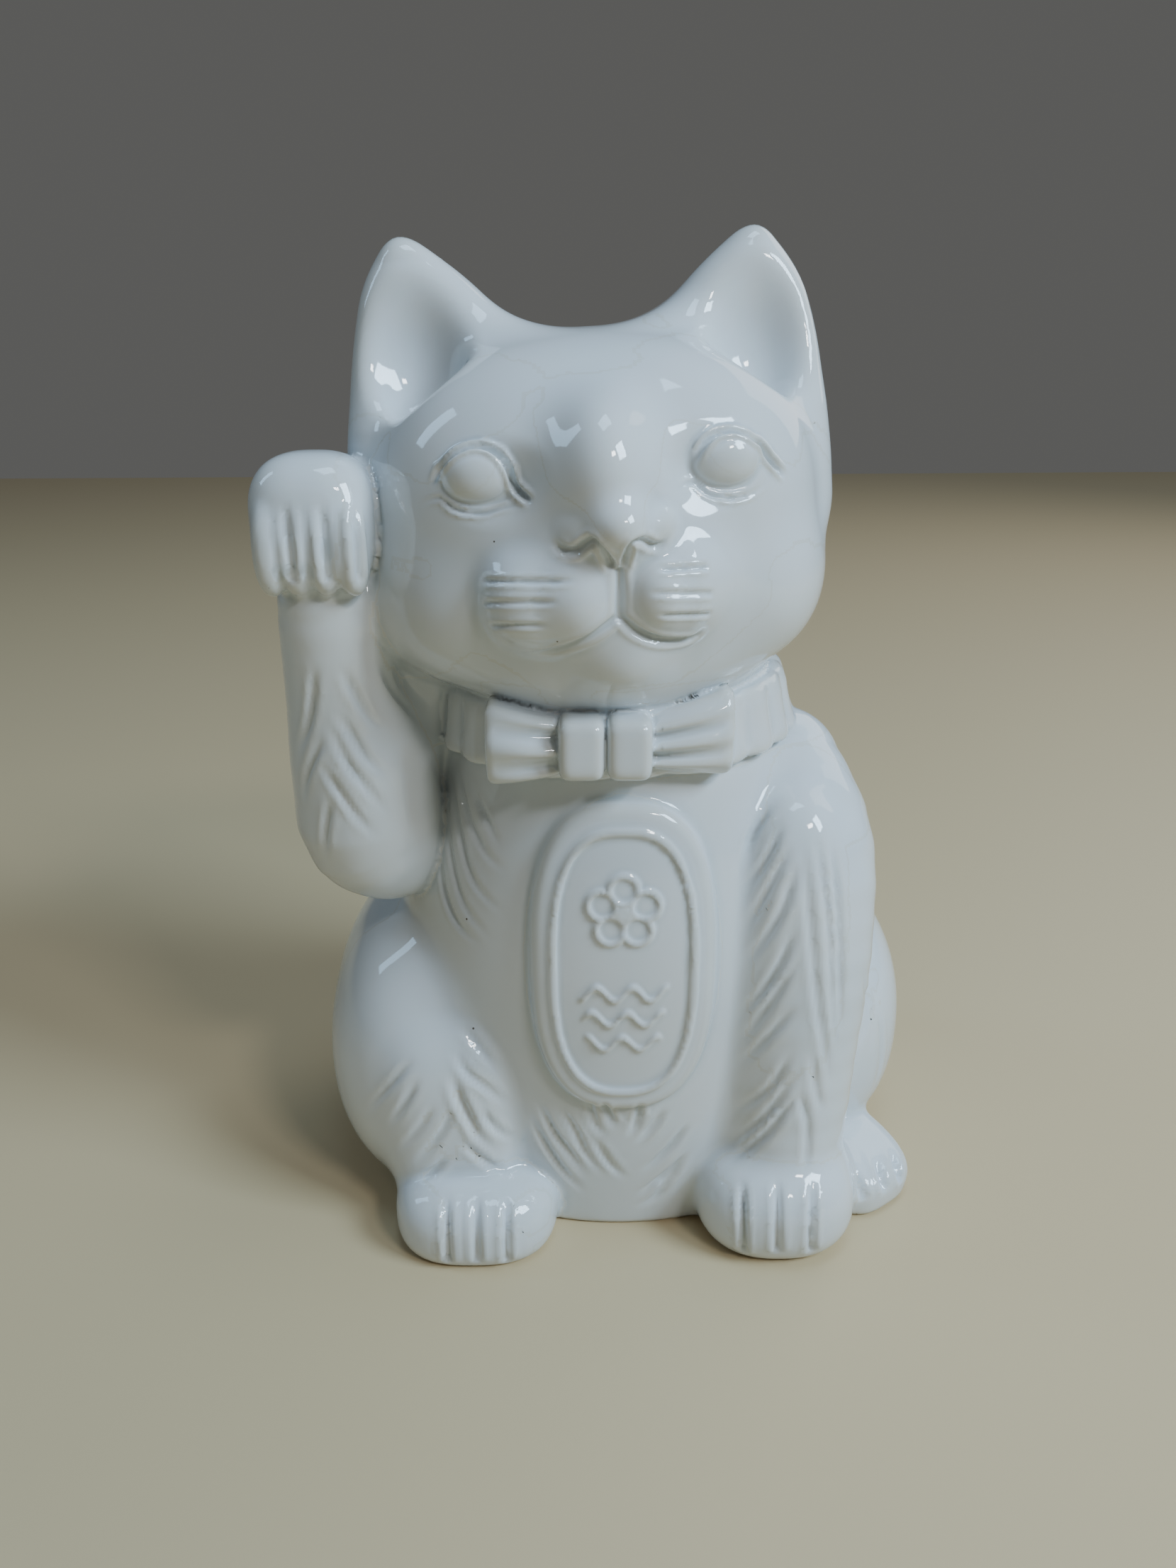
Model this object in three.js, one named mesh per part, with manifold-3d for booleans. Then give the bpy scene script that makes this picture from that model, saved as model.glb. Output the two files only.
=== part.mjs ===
// A beckoning cat in white glazed pottery, made as a coin bank: hollow clay castings luted together with slip,
// with a pull-out rubber stopper under the base.
// Millimetres, +Z up. The cat faces -Y, and +X is to the right of someone facing it. Left and right in the names
// are the cat's own. The origin is the middle of the base, on the surface that the cat stands on.
import * as THREE from "three";
import { mergeVertices } from "three/addons/utils/BufferGeometryUtils.js";
import Module from "manifold-3d";

const wasm = await Module();
wasm.setup();

// ---- Driving sizes ----
const HEIGHT = 212; // to the tip of the higher ear
const WALL = 4; // cast clay wall
const SEAM = 0.3; // slip joint between two luted pieces

const HEAD_WIDTH = 93;
const HEAD_HEIGHT = 72;
const HEAD_DEPTH = 84;
const HEAD_TILT = THREE.MathUtils.degToRad(3.5); // the cat's left cheek is the higher one
const HEAD_OFF_X = -4.5;
const MUZZLE_PROUD = 6; // how far the muzzle stands out of the face
const EAR_RISE = 17; // ear tip above the crown, in the head's own frame
const EAR_SPREAD = 34.5; // ear tip from the middle of the head
const EAR_WIDTH = 38;
const EAR_THICK = 15;

const TORSO_HALF = 55;
const CHEST = 51; // from the middle to the front of the belly
const BACK = 53; // from the middle to the furthest point of the back
const NECK_HALF = 33;
const NECK_FRONT = 38;
const NECK_BACK = 24;
const NECK_BITE = 10; // how far the neck stands up inside the head

const PAW_FRONT = 60; // toe tips from the middle
const PAW_HALF = 17.5;
const PAW_RISE = 21;
const FOREPAW_X = 35;
const HIND_PAW_X = -32;
const FORELEG_RADIUS = 16;
const ARM_RADIUS = 17;
const FIST_RADIUS = 12.5;
const HAUNCH_HALF = 24.5;
const HAUNCH_LENGTH = 78;
const HAUNCH_HEIGHT = 68;
const TAIL_RADIUS = 6.5;
const VENT_DIAMETER = 8; // pierced so that a luted hollow can breathe in the kiln

const COLLAR_HEIGHT = 18;
const COLLAR_PROUD = 6; // how far the band stands out of the neck
const BOW_WIDTH = 47;
const BOW_HEIGHT = 16;
const BOW_PROUD = 5;
const KOBAN_WIDTH = 38;
const KOBAN_HEIGHT = 75;
const KOBAN_PROUD = 4;
const KOBAN_RIM = 4.5;
const KOBAN_SUNK = 0.8;

const SLOT_LENGTH = 36;
const SLOT_WIDTH = 5;
const BASE_RECESS = 3.5; // foot ring's depth under the base slab
const SLAB_THICK = 4.5;
const HOLE_DIAMETER = 25;
const STOPPER_PLAY = 0.3;
const STOPPER_LIP = 2.5;
const STOPPER_LIP_THICK = 2.4;
const STOPPER_LENGTH = 9;
const STOPPER_WALL = 3;

// ---- Places that follow from the sizes ----
const tiltRise = EAR_SPREAD * Math.sin(HEAD_TILT);
const headY = HEAD_DEPTH / 2 + MUZZLE_PROUD - PAW_FRONT; // so the muzzle is over the toes
const headZ = HEIGHT - tiltRise - (HEAD_HEIGHT / 2 + EAR_RISE) * Math.cos(HEAD_TILT);
const chinZ = headZ - HEAD_HEIGHT / 2;
const neckTopZ = chinZ + NECK_BITE;
const shoulderZ = chinZ - 30;
const collarZ = chinZ - COLLAR_HEIGHT * 0.32;
const kobanZ = shoulderZ - KOBAN_HEIGHT * 0.28;
const slotZ = shoulderZ - 6;
const armX = HEAD_OFF_X - HEAD_WIDTH / 2 - FIST_RADIUS * 0.72;
const pawY = PAW_HALF - PAW_FRONT;
const holeR = HOLE_DIAMETER / 2;
const footTopZ = BASE_RECESS + SLAB_THICK; // the foot goes straight up as far as the top of the base slab

// ---- Shaping helpers ----
// A closed three.js geometry as a solid.
function toSolid(geometry) {
  const bare = geometry.index ? geometry.toNonIndexed() : geometry.clone();
  bare.deleteAttribute("normal");
  bare.deleteAttribute("uv");
  const merged = mergeVertices(bare, 1e-4);
  return new wasm.Manifold(
    new wasm.Mesh({
      numProp: 3,
      vertProperties: merged.attributes.position.array,
      triVerts: new Uint32Array(merged.index.array),
    }),
  );
}

// A rounded lump of clay: an ellipsoid, squarer as square rises above 2, and grow larger all round.
function lump({ at, radii, turn = [0, 0, 0], square = 2, sides = 20 }, grow = 0) {
  const ball = new THREE.SphereGeometry(1, sides, Math.round(sides * 0.7)).rotateX(Math.PI / 2);
  const p = ball.attributes.position;
  const v = new THREE.Vector3();
  for (let i = 0; i < p.count; i++) {
    v.fromBufferAttribute(p, i);
    const sum = Math.abs(v.x) ** square + Math.abs(v.y) ** square + Math.abs(v.z) ** square;
    v.multiplyScalar(sum ** (-1 / square));
    p.setXYZ(i, v.x, v.y, v.z);
  }
  ball.scale(radii[0] + grow, radii[1] + grow, radii[2] + grow);
  ball.rotateX(turn[0]).rotateY(turn[1]).rotateZ(turn[2]).translate(...at);
  return toSolid(ball);
}

// A skin through level rings, each { z, x, y, half, front, back }: half its width, and its reach to the front and
// back of (x, y). grow moves the skin out, and ends moves the two flat ends out.
function loft(rings, sides, grow, ends = grow) {
  const last = rings.length - 1;
  const points = [];
  rings.forEach((ring, k) => {
    const z = ring.z + (k === 0 ? -ends : k === last ? ends : 0);
    for (let s = 0; s < sides; s++) {
      const angle = (2 * Math.PI * s) / sides;
      const reach = Math.sin(angle) < 0 ? ring.front : ring.back;
      const x = ring.x + Math.max(1, ring.half + grow) * Math.cos(angle);
      points.push(x, ring.y + Math.max(1, reach + grow) * Math.sin(angle), z);
    }
  });
  const [low, high] = [rings.length * sides, rings.length * sides + 1];
  points.push(rings[0].x, rings[0].y, rings[0].z - ends, rings[last].x, rings[last].y, rings[last].z + ends);
  const faces = [];
  for (let s = 0; s < sides; s++) {
    const n = (s + 1) % sides;
    faces.push(low, n, s, high, last * sides + s, last * sides + n);
    for (let k = 0; k < last; k++) {
      const [a, b] = [k * sides, (k + 1) * sides];
      faces.push(a + s, a + n, b + n, a + s, b + n, b + s);
    }
  }
  const skin = new THREE.BufferGeometry();
  skin.setAttribute("position", new THREE.Float32BufferAttribute(points, 3));
  skin.setIndex(faces);
  return toSolid(skin);
}

function box(low, high) {
  const size = high.map((h, i) => h - low[i]);
  const middle = high.map((h, i) => (h + low[i]) / 2);
  return toSolid(new THREE.BoxGeometry(...size).translate(...middle));
}

// An outline in the X-Z plane pushed back along +Y from y = front.
function plate(outline, front, thick, bevel = 0) {
  const raised = new THREE.ExtrudeGeometry(outline, {
    depth: thick - 2 * bevel,
    steps: 1,
    curveSegments: 10,
    bevelEnabled: bevel > 0,
    bevelSize: bevel,
    bevelOffset: -bevel,
    bevelThickness: bevel,
    bevelSegments: 2,
  });
  return toSolid(raised.rotateX(Math.PI / 2).translate(0, front + thick - bevel, 0));
}

// What is above the floor that the cat stands on, or above a wall's thickness from it when grow is negative.
const FAR = 400;
const offFloor = (solid, grow = 0) => solid.subtract(box([-FAR, -FAR, -FAR], [FAR, FAR, -Math.min(grow, 0)]));

// A hollow casting: the form less the same form a wall smaller.
const cast = (form) => form(0).subtract(form(-WALL));

// A piece trimmed back, with a slip joint, from the neighbours that it is luted to.
const lute = (solid, ...neighbours) => neighbours.reduce((left, form) => left.subtract(form(SEAM)), solid);

// ---- Forms: each gives the outer shape, grow larger all round ----
function torsoForm(grow, ends = grow) {
  const ring = (z, side, front, back) => ({ z, x: 0, y: 0, half: side, front, back });
  const reach = (share, side, front, back) =>
    ring(share * neckTopZ, side * TORSO_HALF, front * CHEST, back * BACK);
  return loft(
    [
      ring(0, TORSO_HALF * 0.93, CHEST * 0.88, BACK * 0.93),
      ring(footTopZ, TORSO_HALF * 0.93, CHEST * 0.88, BACK * 0.93),
      reach(0.25, 1, 0.97, 1),
      reach(0.45, 0.97, 1, 0.98),
      reach(0.62, 0.88, 0.98, 0.88),
      reach(0.76, 0.76, 0.93, 0.7),
      ring(chinZ - COLLAR_HEIGHT, NECK_HALF * 1.06, NECK_FRONT * 1.1, NECK_BACK * 1.25),
      ring(chinZ, NECK_HALF, NECK_FRONT, NECK_BACK),
      ring(neckTopZ, NECK_HALF, NECK_FRONT, NECK_BACK),
    ],
    32,
    grow,
    ends,
  );
}

// Puts a piece of the head, made about the head's own middle, in its place on the neck.
const onHead = (solid) =>
  solid.rotate([0, -THREE.MathUtils.radToDeg(HEAD_TILT), 0]).translate([HEAD_OFF_X, headY, headZ]);

function headForm(grow) {
  const skull = lump(
    { at: [0, 0, 0], radii: [HEAD_WIDTH / 2, HEAD_DEPTH / 2, HEAD_HEIGHT / 2], square: 2.5, sides: 32 },
    grow,
  );
  const muzzleZ = -HEAD_HEIGHT * 0.13;
  const muzzle = lump(
    { at: [2, 16 - MUZZLE_PROUD - HEAD_DEPTH / 2, muzzleZ], radii: [HEAD_WIDTH * 0.24, 16, HEAD_HEIGHT * 0.19] },
    grow,
  );
  return onHead(skull.add(muzzle));
}

// An ear on the side given by -1 or 1: a thick leaf with a rounded tip and a scooped front.
function earForm(side, grow) {
  const tipZ = HEAD_HEIGHT / 2 + EAR_RISE + grow;
  const [outer, inner] = [EAR_SPREAD + EAR_WIDTH * 0.38 + grow, EAR_SPREAD - EAR_WIDTH * 0.58 - grow];
  const leaf = new THREE.Shape();
  leaf.moveTo(side * outer, HEAD_HEIGHT * 0.1);
  leaf.quadraticCurveTo(side * outer, tipZ - EAR_RISE, side * (EAR_SPREAD + EAR_WIDTH * 0.16), tipZ - 4);
  leaf.quadraticCurveTo(side * EAR_SPREAD, tipZ + 4, side * (EAR_SPREAD - EAR_WIDTH * 0.16), tipZ - 4);
  leaf.lineTo(side * inner, HEAD_HEIGHT * 0.42);
  leaf.lineTo(side * inner, HEAD_HEIGHT * 0.1);
  leaf.closePath();
  const solid = plate(leaf, -EAR_THICK * 0.6 - grow, EAR_THICK + 2 * grow, 4);
  const scoop = lump({
    at: [side * EAR_SPREAD, -EAR_THICK * 0.95, HEAD_HEIGHT / 2 - 2],
    radii: [EAR_WIDTH * 0.25, EAR_THICK * 0.7, EAR_RISE],
  });
  return onHead(solid.subtract(scoop));
}

// The raised right foreleg: an elbow at the ribs, a forearm, a fist against the cheek, and the web of clay that
// fills the space between the forearm and the neck.
function raisedLegForm(grow) {
  const ring = (z, x, y, share) => ({
    z,
    x,
    y,
    half: ARM_RADIUS * share,
    front: ARM_RADIUS * share * 1.08,
    back: ARM_RADIUS * share * 1.08,
  });
  const elbowZ = shoulderZ - 15;
  const elbowX = ARM_RADIUS * 0.15 - TORSO_HALF;
  const wristZ = headZ - FIST_RADIUS;
  const up = (share) => THREE.MathUtils.lerp(elbowZ, wristZ, share);
  const out = (share) => THREE.MathUtils.lerp(elbowX, armX, share);
  const arm = loft(
    [
      ring(up(0), out(0), -20, 0.45),
      ring(up(0.06), out(0.06), -20, 0.82),
      ring(up(0.16), out(0.16), -20, 1),
      ring(up(0.4), out(0.4), -22, 0.98),
      ring(up(0.65), out(0.65), -26, 0.78),
      ring(up(0.82), out(0.82), -29, 0.64),
      ring(up(1.2), out(1), -32, 0.62),
    ],
    20,
    grow,
  );
  const web = lump(
    { at: [elbowX * 0.9, -14, chinZ], radii: [ARM_RADIUS, ARM_RADIUS * 0.6, (wristZ - elbowZ) * 0.5] },
    grow,
  );
  const fist = lump(
    { at: [armX, -33, headZ], radii: [FIST_RADIUS, FIST_RADIUS * 1.05, FIST_RADIUS * 1.15], square: 2.4 },
    grow,
  );
  return arm.add(web).add(fist);
}

// A front-facing paw flat on the floor.
function pawForm(x, grow) {
  const radii = [PAW_HALF, PAW_HALF, PAW_RISE * 0.57];
  return lump({ at: [x, pawY, PAW_RISE - radii[2]], radii, square: 2.3 }, grow);
}

// The left foreleg, straight down from the shoulder to its paw.
function standingLegForm(grow) {
  const ring = (share, x, y, size) => ({
    z: THREE.MathUtils.lerp(5, shoulderZ + 14, share),
    x,
    y,
    half: FORELEG_RADIUS * size,
    front: FORELEG_RADIUS * size * 1.15,
    back: FORELEG_RADIUS * size * 1.15,
  });
  const shoulderX = TORSO_HALF - FORELEG_RADIUS * 0.85;
  const leg = loft(
    [
      ring(0, FOREPAW_X + 1, pawY + 5.5, 0.88),
      ring(0.2, FOREPAW_X + 2, pawY + 6.5, 0.9),
      ring(0.45, (FOREPAW_X + shoulderX) / 2 + 2, (pawY - 21) / 2, 0.98),
      ring(0.7, shoulderX, -27, 1.08),
      ring(0.84, shoulderX - 2, -22, 1.08),
      ring(0.94, shoulderX - 5, -18, 0.86),
      ring(1, shoulderX - 7, -15, 0.45),
    ],
    20,
    grow,
  );
  return offFloor(leg.add(pawForm(FOREPAW_X, grow)), grow);
}

function haunch(x, y, grow) {
  const radii = [HAUNCH_HALF, HAUNCH_LENGTH / 2, HAUNCH_HEIGHT * 0.54];
  return lump({ at: [x, y, HAUNCH_HEIGHT - radii[2]], radii, square: 2.2 }, grow);
}

const rightHaunchX = HAUNCH_HALF * 0.4 - TORSO_HALF;
const leftHaunchX = TORSO_HALF - HAUNCH_HALF * 0.38;
const rightHaunchY = HAUNCH_LENGTH / 2 + 17 - PAW_FRONT;
const leftHaunchY = rightHaunchY + 13;
const rightHindForm = (grow) =>
  offFloor(haunch(rightHaunchX, rightHaunchY, grow).add(pawForm(HIND_PAW_X, grow)), grow);
const leftHindForm = (grow) => {
  const foot = lump(
    {
      at: [leftHaunchX + HAUNCH_HALF * 0.4, leftHaunchY - HAUNCH_LENGTH * 0.4, PAW_RISE * 0.32],
      radii: [PAW_HALF * 0.78, PAW_HALF * 1.3, PAW_RISE * 0.52],
      turn: [0, 0, THREE.MathUtils.degToRad(20)],
      square: 2.3,
    },
    grow,
  );
  return offFloor(haunch(leftHaunchX, leftHaunchY, grow).add(foot), grow);
};

// A short tail that curls up against the back.
function tailForm(grow) {
  const y = BACK + 0.5;
  const path = new THREE.CatmullRomCurve3([
    new THREE.Vector3(-14, y - 2, TAIL_RADIUS + 1),
    new THREE.Vector3(6, y, TAIL_RADIUS + 1.5),
    new THREE.Vector3(22, y - 3, TAIL_RADIUS + 9),
    new THREE.Vector3(24, y - 4, TAIL_RADIUS + 24),
    new THREE.Vector3(13, y - 3, TAIL_RADIUS + 32),
  ]);
  const ring = new THREE.Shape().absarc(0, 0, TAIL_RADIUS + grow, 0, 2 * Math.PI);
  const tube = toSolid(
    new THREE.ExtrudeGeometry(ring, { extrudePath: path, steps: 14, curveSegments: 6, bevelEnabled: false }),
  );
  const radii = [TAIL_RADIUS, TAIL_RADIUS, TAIL_RADIUS];
  const knob = (share) => lump({ at: path.getPoint(share).toArray(), radii, sides: 12 }, grow);
  return tube.add(knob(0)).add(knob(1));
}

// The collar: a band round the neck with a soft rounded edge.
function collarForm(grow) {
  const outer = NECK_HALF + COLLAR_PROUD + grow;
  const inner = NECK_HALF - 4 - grow;
  const half = COLLAR_HEIGHT / 2 + grow;
  const profile = [
    new THREE.Vector2(inner, -half),
    new THREE.Vector2(outer - 2, -half),
    new THREE.Vector2(outer, -half + 3),
    new THREE.Vector2(outer, half - 3),
    new THREE.Vector2(outer - 2, half),
    new THREE.Vector2(inner, half),
    new THREE.Vector2(inner, -half),
  ];
  const band = new THREE.LatheGeometry(profile, 40).rotateX(Math.PI / 2);
  const depth = (NECK_FRONT + NECK_BACK) / 2;
  band.scale(1, (depth + COLLAR_PROUD + grow) / outer, 1);
  band.rotateX(THREE.MathUtils.degToRad(3)).translate(0, (NECK_BACK - NECK_FRONT) / 2, collarZ);
  return toSolid(band);
}

const collarFront = -NECK_FRONT - COLLAR_PROUD;

// The bow: two flaring wings and a knot in two lobes, on the front of the collar.
function bowForm(grow) {
  const high = BOW_HEIGHT / 2 + grow;
  const long = BOW_WIDTH / 2 + grow;
  const knot = BOW_WIDTH * 0.18 + grow;
  const wings = new THREE.Shape();
  wings.moveTo(-long, -high);
  wings.lineTo(-knot, -high * 0.72);
  wings.lineTo(knot, -high * 0.72);
  wings.lineTo(long, -high);
  wings.lineTo(long, high);
  wings.lineTo(knot, high * 0.72);
  wings.lineTo(-knot, high * 0.72);
  wings.lineTo(-long, high);
  wings.closePath();
  const front = collarFront - BOW_PROUD - grow;
  const ribbon = plate(wings, front + 1.5, BOW_PROUD + 14, 1.2);
  const radii = [knot * 0.52, BOW_PROUD, high * 0.86];
  const lobe = (side) => lump({ at: [side * knot * 0.5, collarFront, 0], radii, square: 3.2, sides: 16 });
  return ribbon.add(lobe(-1)).add(lobe(1)).translate([HEAD_OFF_X + 2, 0, collarZ + 3]);
}

// The oval coin on the belly, a plate with a raised rim round a sunk field.
function kobanOutline(inset) {
  const oval = new THREE.Shape();
  const [a, b] = [KOBAN_WIDTH / 2 - inset, KOBAN_HEIGHT / 2 - inset];
  const squareness = 2 / 2.6;
  const steps = 36;
  for (let i = 0; i < steps; i++) {
    const angle = (2 * Math.PI * i) / steps;
    const [c, s] = [Math.cos(angle), Math.sin(angle)];
    const x = a * Math.sign(c) * Math.abs(c) ** squareness;
    const z = b * Math.sign(s) * Math.abs(s) ** squareness;
    if (i === 0) oval.moveTo(x, z);
    else oval.lineTo(x, z);
  }
  oval.closePath();
  return oval;
}

const kobanForm = (grow) =>
  plate(kobanOutline(-grow), -CHEST - KOBAN_PROUD - grow, KOBAN_PROUD + 16, 1).translate([0, 0, kobanZ]);
const kobanField = () =>
  plate(kobanOutline(KOBAN_RIM), -CHEST - KOBAN_PROUD - 2, 2 + KOBAN_SUNK).translate([0, 0, kobanZ]);

// ---- Pieces ----
const glaze = new THREE.MeshStandardMaterial({ color: 0xe9edf0, roughness: 0.07, metalness: 0 });
const biscuit = new THREE.MeshStandardMaterial({ color: 0xe6dfd2, roughness: 0.85, metalness: 0 });
const rubber = new THREE.MeshStandardMaterial({ color: 0xdcdad4, roughness: 0.6, metalness: 0 });

const cat = new THREE.Group();
cat.name = "beckoning_cat";

function addPiece(name, solid, material) {
  const made = solid.getMesh();
  const geometry = new THREE.BufferGeometry();
  geometry.setAttribute("position", new THREE.BufferAttribute(Float32Array.from(made.vertProperties), 3));
  geometry.setIndex(new THREE.BufferAttribute(made.triVerts, 1));
  geometry.computeVertexNormals();
  const piece = new THREE.Mesh(geometry, material);
  piece.name = name;
  cat.add(piece);
}

// A round vent across the joint from the inside of the torso to the middle of a hollow limb.
function vent(x, y, z) {
  const bore = new THREE.CylinderGeometry(VENT_DIAMETER / 2, VENT_DIAMETER / 2, Math.abs(x), 16);
  return toSolid(bore.rotateZ(Math.PI / 2).translate(x / 2, y, z));
}

const armVent = vent(-TORSO_HALF, -22, shoulderZ - 2);
const standingVent = vent(TORSO_HALF - FORELEG_RADIUS, -27, shoulderZ - 25);
const rightHindVent = vent(rightHaunchX, rightHaunchY, HAUNCH_HEIGHT * 0.5);
const leftHindVent = vent(leftHaunchX, leftHaunchY, HAUNCH_HEIGHT * 0.5);

function torso() {
  const sleeve = torsoForm(0).subtract(torsoForm(-WALL, 1));
  const halfSlot = SLOT_WIDTH / 2;
  const slot = box([-SLOT_LENGTH / 2, BACK * 0.3, slotZ - halfSlot], [SLOT_LENGTH / 2, FAR, slotZ + halfSlot]);
  const cuts = [slot, armVent, standingVent, rightHindVent, leftHindVent];
  return cuts.reduce((left, cut) => left.subtract(cut), sleeve);
}

// The base: a slab inside the foot of the torso, with the hole for the stopper.
function baseSlab() {
  const layer = box([-FAR, -FAR, BASE_RECESS], [FAR, FAR, footTopZ]);
  const hole = new THREE.CylinderGeometry(holeR, holeR, 4 * footTopZ, 32).rotateX(Math.PI / 2);
  return torsoForm(-WALL - SEAM, 1).intersect(layer).subtract(toSolid(hole));
}

function head() {
  return lute(cast(headForm), torsoForm);
}

// The rubber stopper: a lip under the slab and a hollow tapered plug that grips the hole.
function stopper() {
  const lipTop = BASE_RECESS - STOPPER_PLAY;
  const lipLow = lipTop - STOPPER_LIP_THICK;
  const plugR = holeR - STOPPER_PLAY;
  const top = lipTop + STOPPER_LENGTH;
  const profile = [
    new THREE.Vector2(0, top - STOPPER_WALL),
    new THREE.Vector2(plugR - STOPPER_WALL - 1, top - STOPPER_WALL),
    new THREE.Vector2(plugR - STOPPER_WALL, lipLow),
    new THREE.Vector2(holeR + STOPPER_LIP, lipLow),
    new THREE.Vector2(holeR + STOPPER_LIP, lipTop),
    new THREE.Vector2(plugR, lipTop),
    new THREE.Vector2(plugR, top - 2),
    new THREE.Vector2(plugR - 1, top),
    new THREE.Vector2(0, top),
  ];
  return toSolid(new THREE.LatheGeometry(profile, 32).rotateX(Math.PI / 2));
}

const rightEar = (grow) => earForm(-1, grow);
const leftEar = (grow) => earForm(1, grow);

addPiece("torso_casting", torso(), glaze);
addPiece("base_slab", baseSlab(), biscuit);
addPiece("head_casting", head(), glaze);
addPiece("right_ear", lute(rightEar(0), headForm), glaze);
addPiece("left_ear", lute(leftEar(0), headForm), glaze);
const raisedLeg = lute(cast(raisedLegForm), torsoForm, headForm, rightEar, rightHindForm);
addPiece("raised_foreleg", raisedLeg.subtract(armVent), glaze);
addPiece("standing_foreleg", lute(cast(standingLegForm), torsoForm).subtract(standingVent), glaze);
addPiece("right_hind_leg", lute(cast(rightHindForm), torsoForm).subtract(rightHindVent), glaze);
const leftHindLeg = lute(cast(leftHindForm), torsoForm, standingLegForm);
addPiece("left_hind_leg", leftHindLeg.subtract(leftHindVent), glaze);
addPiece("tail", lute(tailForm(0), torsoForm, leftHindForm, rightHindForm), glaze);
addPiece("collar_band", lute(collarForm(0), torsoForm, headForm, raisedLegForm, standingLegForm), glaze);
addPiece("collar_bow", lute(bowForm(0), torsoForm, headForm, collarForm), glaze);
const koban = kobanForm(0).subtract(kobanField());
addPiece("koban_tablet", lute(koban, torsoForm, collarForm, bowForm, standingLegForm), glaze);
addPiece("stopper", stopper(), rubber);

export default cat;
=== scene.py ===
# %% [markdown]
# # A beckoning cat in white glazed pottery
# This lesson models a slip-cast figurine the way a potter's master model is made: lumps of clay are
# pressed together, the joints are thumbed smooth, hollows are scooped out and the fur is scored with a
# tool. Then the form is hollowed, dressed with its collar, and glazed. Lengths in the code are in
# millimetres until they reach Blender, which works in metres.

# %% Load the measured frame
import math
import time

import bpy
import numpy as np
from mathutils import Euler, Matrix, Vector
from mathutils.bvhtree import BVHTree


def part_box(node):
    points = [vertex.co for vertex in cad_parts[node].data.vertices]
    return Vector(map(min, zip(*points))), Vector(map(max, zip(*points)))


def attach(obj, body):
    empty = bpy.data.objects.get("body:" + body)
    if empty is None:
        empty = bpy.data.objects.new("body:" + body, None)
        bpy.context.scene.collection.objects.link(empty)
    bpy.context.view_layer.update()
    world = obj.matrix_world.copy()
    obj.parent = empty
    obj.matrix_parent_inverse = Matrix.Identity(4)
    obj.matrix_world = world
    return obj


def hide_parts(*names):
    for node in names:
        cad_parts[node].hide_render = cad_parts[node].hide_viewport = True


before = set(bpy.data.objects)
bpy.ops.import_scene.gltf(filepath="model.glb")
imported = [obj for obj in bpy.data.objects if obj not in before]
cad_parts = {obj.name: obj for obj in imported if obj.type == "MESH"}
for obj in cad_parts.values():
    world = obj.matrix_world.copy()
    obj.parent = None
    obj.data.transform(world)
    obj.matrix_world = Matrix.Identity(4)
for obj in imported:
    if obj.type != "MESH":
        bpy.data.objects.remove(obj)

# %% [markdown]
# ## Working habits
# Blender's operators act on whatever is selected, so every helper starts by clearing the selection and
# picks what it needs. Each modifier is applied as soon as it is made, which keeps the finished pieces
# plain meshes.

MM = 0.001
started = time.time()
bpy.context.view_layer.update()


def deselect():
    if bpy.context.object and bpy.context.object.mode != "OBJECT":
        bpy.ops.object.mode_set(mode="OBJECT")
    bpy.ops.object.select_all(action="DESELECT")


def pick(*objects):
    deselect()
    for o in objects:
        o.select_set(True)
    bpy.context.view_layer.objects.active = objects[0]


def apply_all(o):
    pick(o)
    for m in list(o.modifiers):
        bpy.ops.object.modifier_apply(modifier=m.name)


# %% [markdown]
# ## Clay as a field
# A lump of clay is kept twice. Once it is a mesh sphere, so that Blender has something to remesh. Once it
# is a field: a function that gives the distance of any point from the lump's skin, below zero inside.
# Fields can be melted together with a soft minimum, which leaves the same rounded joint that wet slip
# leaves between two castings.


# %% Fields for lumps, limbs and the soft joints between them
def soft_min(a, b, k):
    h = np.maximum(k - np.abs(a - b), 0) / k
    return np.minimum(a, b) - h * h * k / 4


def soft_max(a, b, k):
    return -soft_min(-a, -b, k)


def axes_of(turn):
    return np.array(Euler([math.radians(a) for a in turn]).to_matrix())


def lump_field(at, radii, axes, square):
    def distance(p):
        u = np.abs((p - at) @ axes) / radii + 1e-6
        total = (u**square).sum(1)
        rho = total ** (1 / square)
        slope = u ** (square - 1) / radii * (total ** (1 / square - 1))[:, None]
        return (rho - 1) / np.maximum(np.linalg.norm(slope, axis=1), 1e-4)

    return distance


def flow(t, knots, values):
    """A smooth curve through values at the knots."""
    knots, values = np.asarray(knots, float), np.asarray(values, float)
    slopes = np.gradient(values, knots, axis=0)
    t = np.clip(t, knots[0], knots[-1])
    i = np.clip(np.searchsorted(knots, t) - 1, 0, len(knots) - 2)
    gap = (knots[i + 1] - knots[i])[:, None]
    s = (t - knots[i])[:, None] / gap
    a, b = values[i], values[i + 1]
    return (
        a * (1 + 2 * s) * (1 - s) ** 2
        + b * s * s * (3 - 2 * s)
        + slopes[i] * gap * s * (1 - s) ** 2
        - slopes[i + 1] * gap * s * s * (1 - s)
    )


def limb_field(beads):
    def distance(p):
        d = np.full(len(p), 1e3)
        for a, b in zip(beads, beads[1:]):
            run = b[:3] - a[:3]
            h = np.clip((p - a[:3]) @ run / (run @ run), 0, 1)
            gap = np.linalg.norm(p - a[:3] - h[:, None] * run, axis=1)
            d = soft_min(d, gap - (a[3] + h * (b[3] - a[3])), 1.0)
        return d

    return distance


# %% [markdown]
# `press` adds clay, `scoop` takes it away. Each remembers how soft its joint is, in millimetres. The
# spheres that `press` leaves in the scene come from Blender's own primitive operator.

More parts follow.
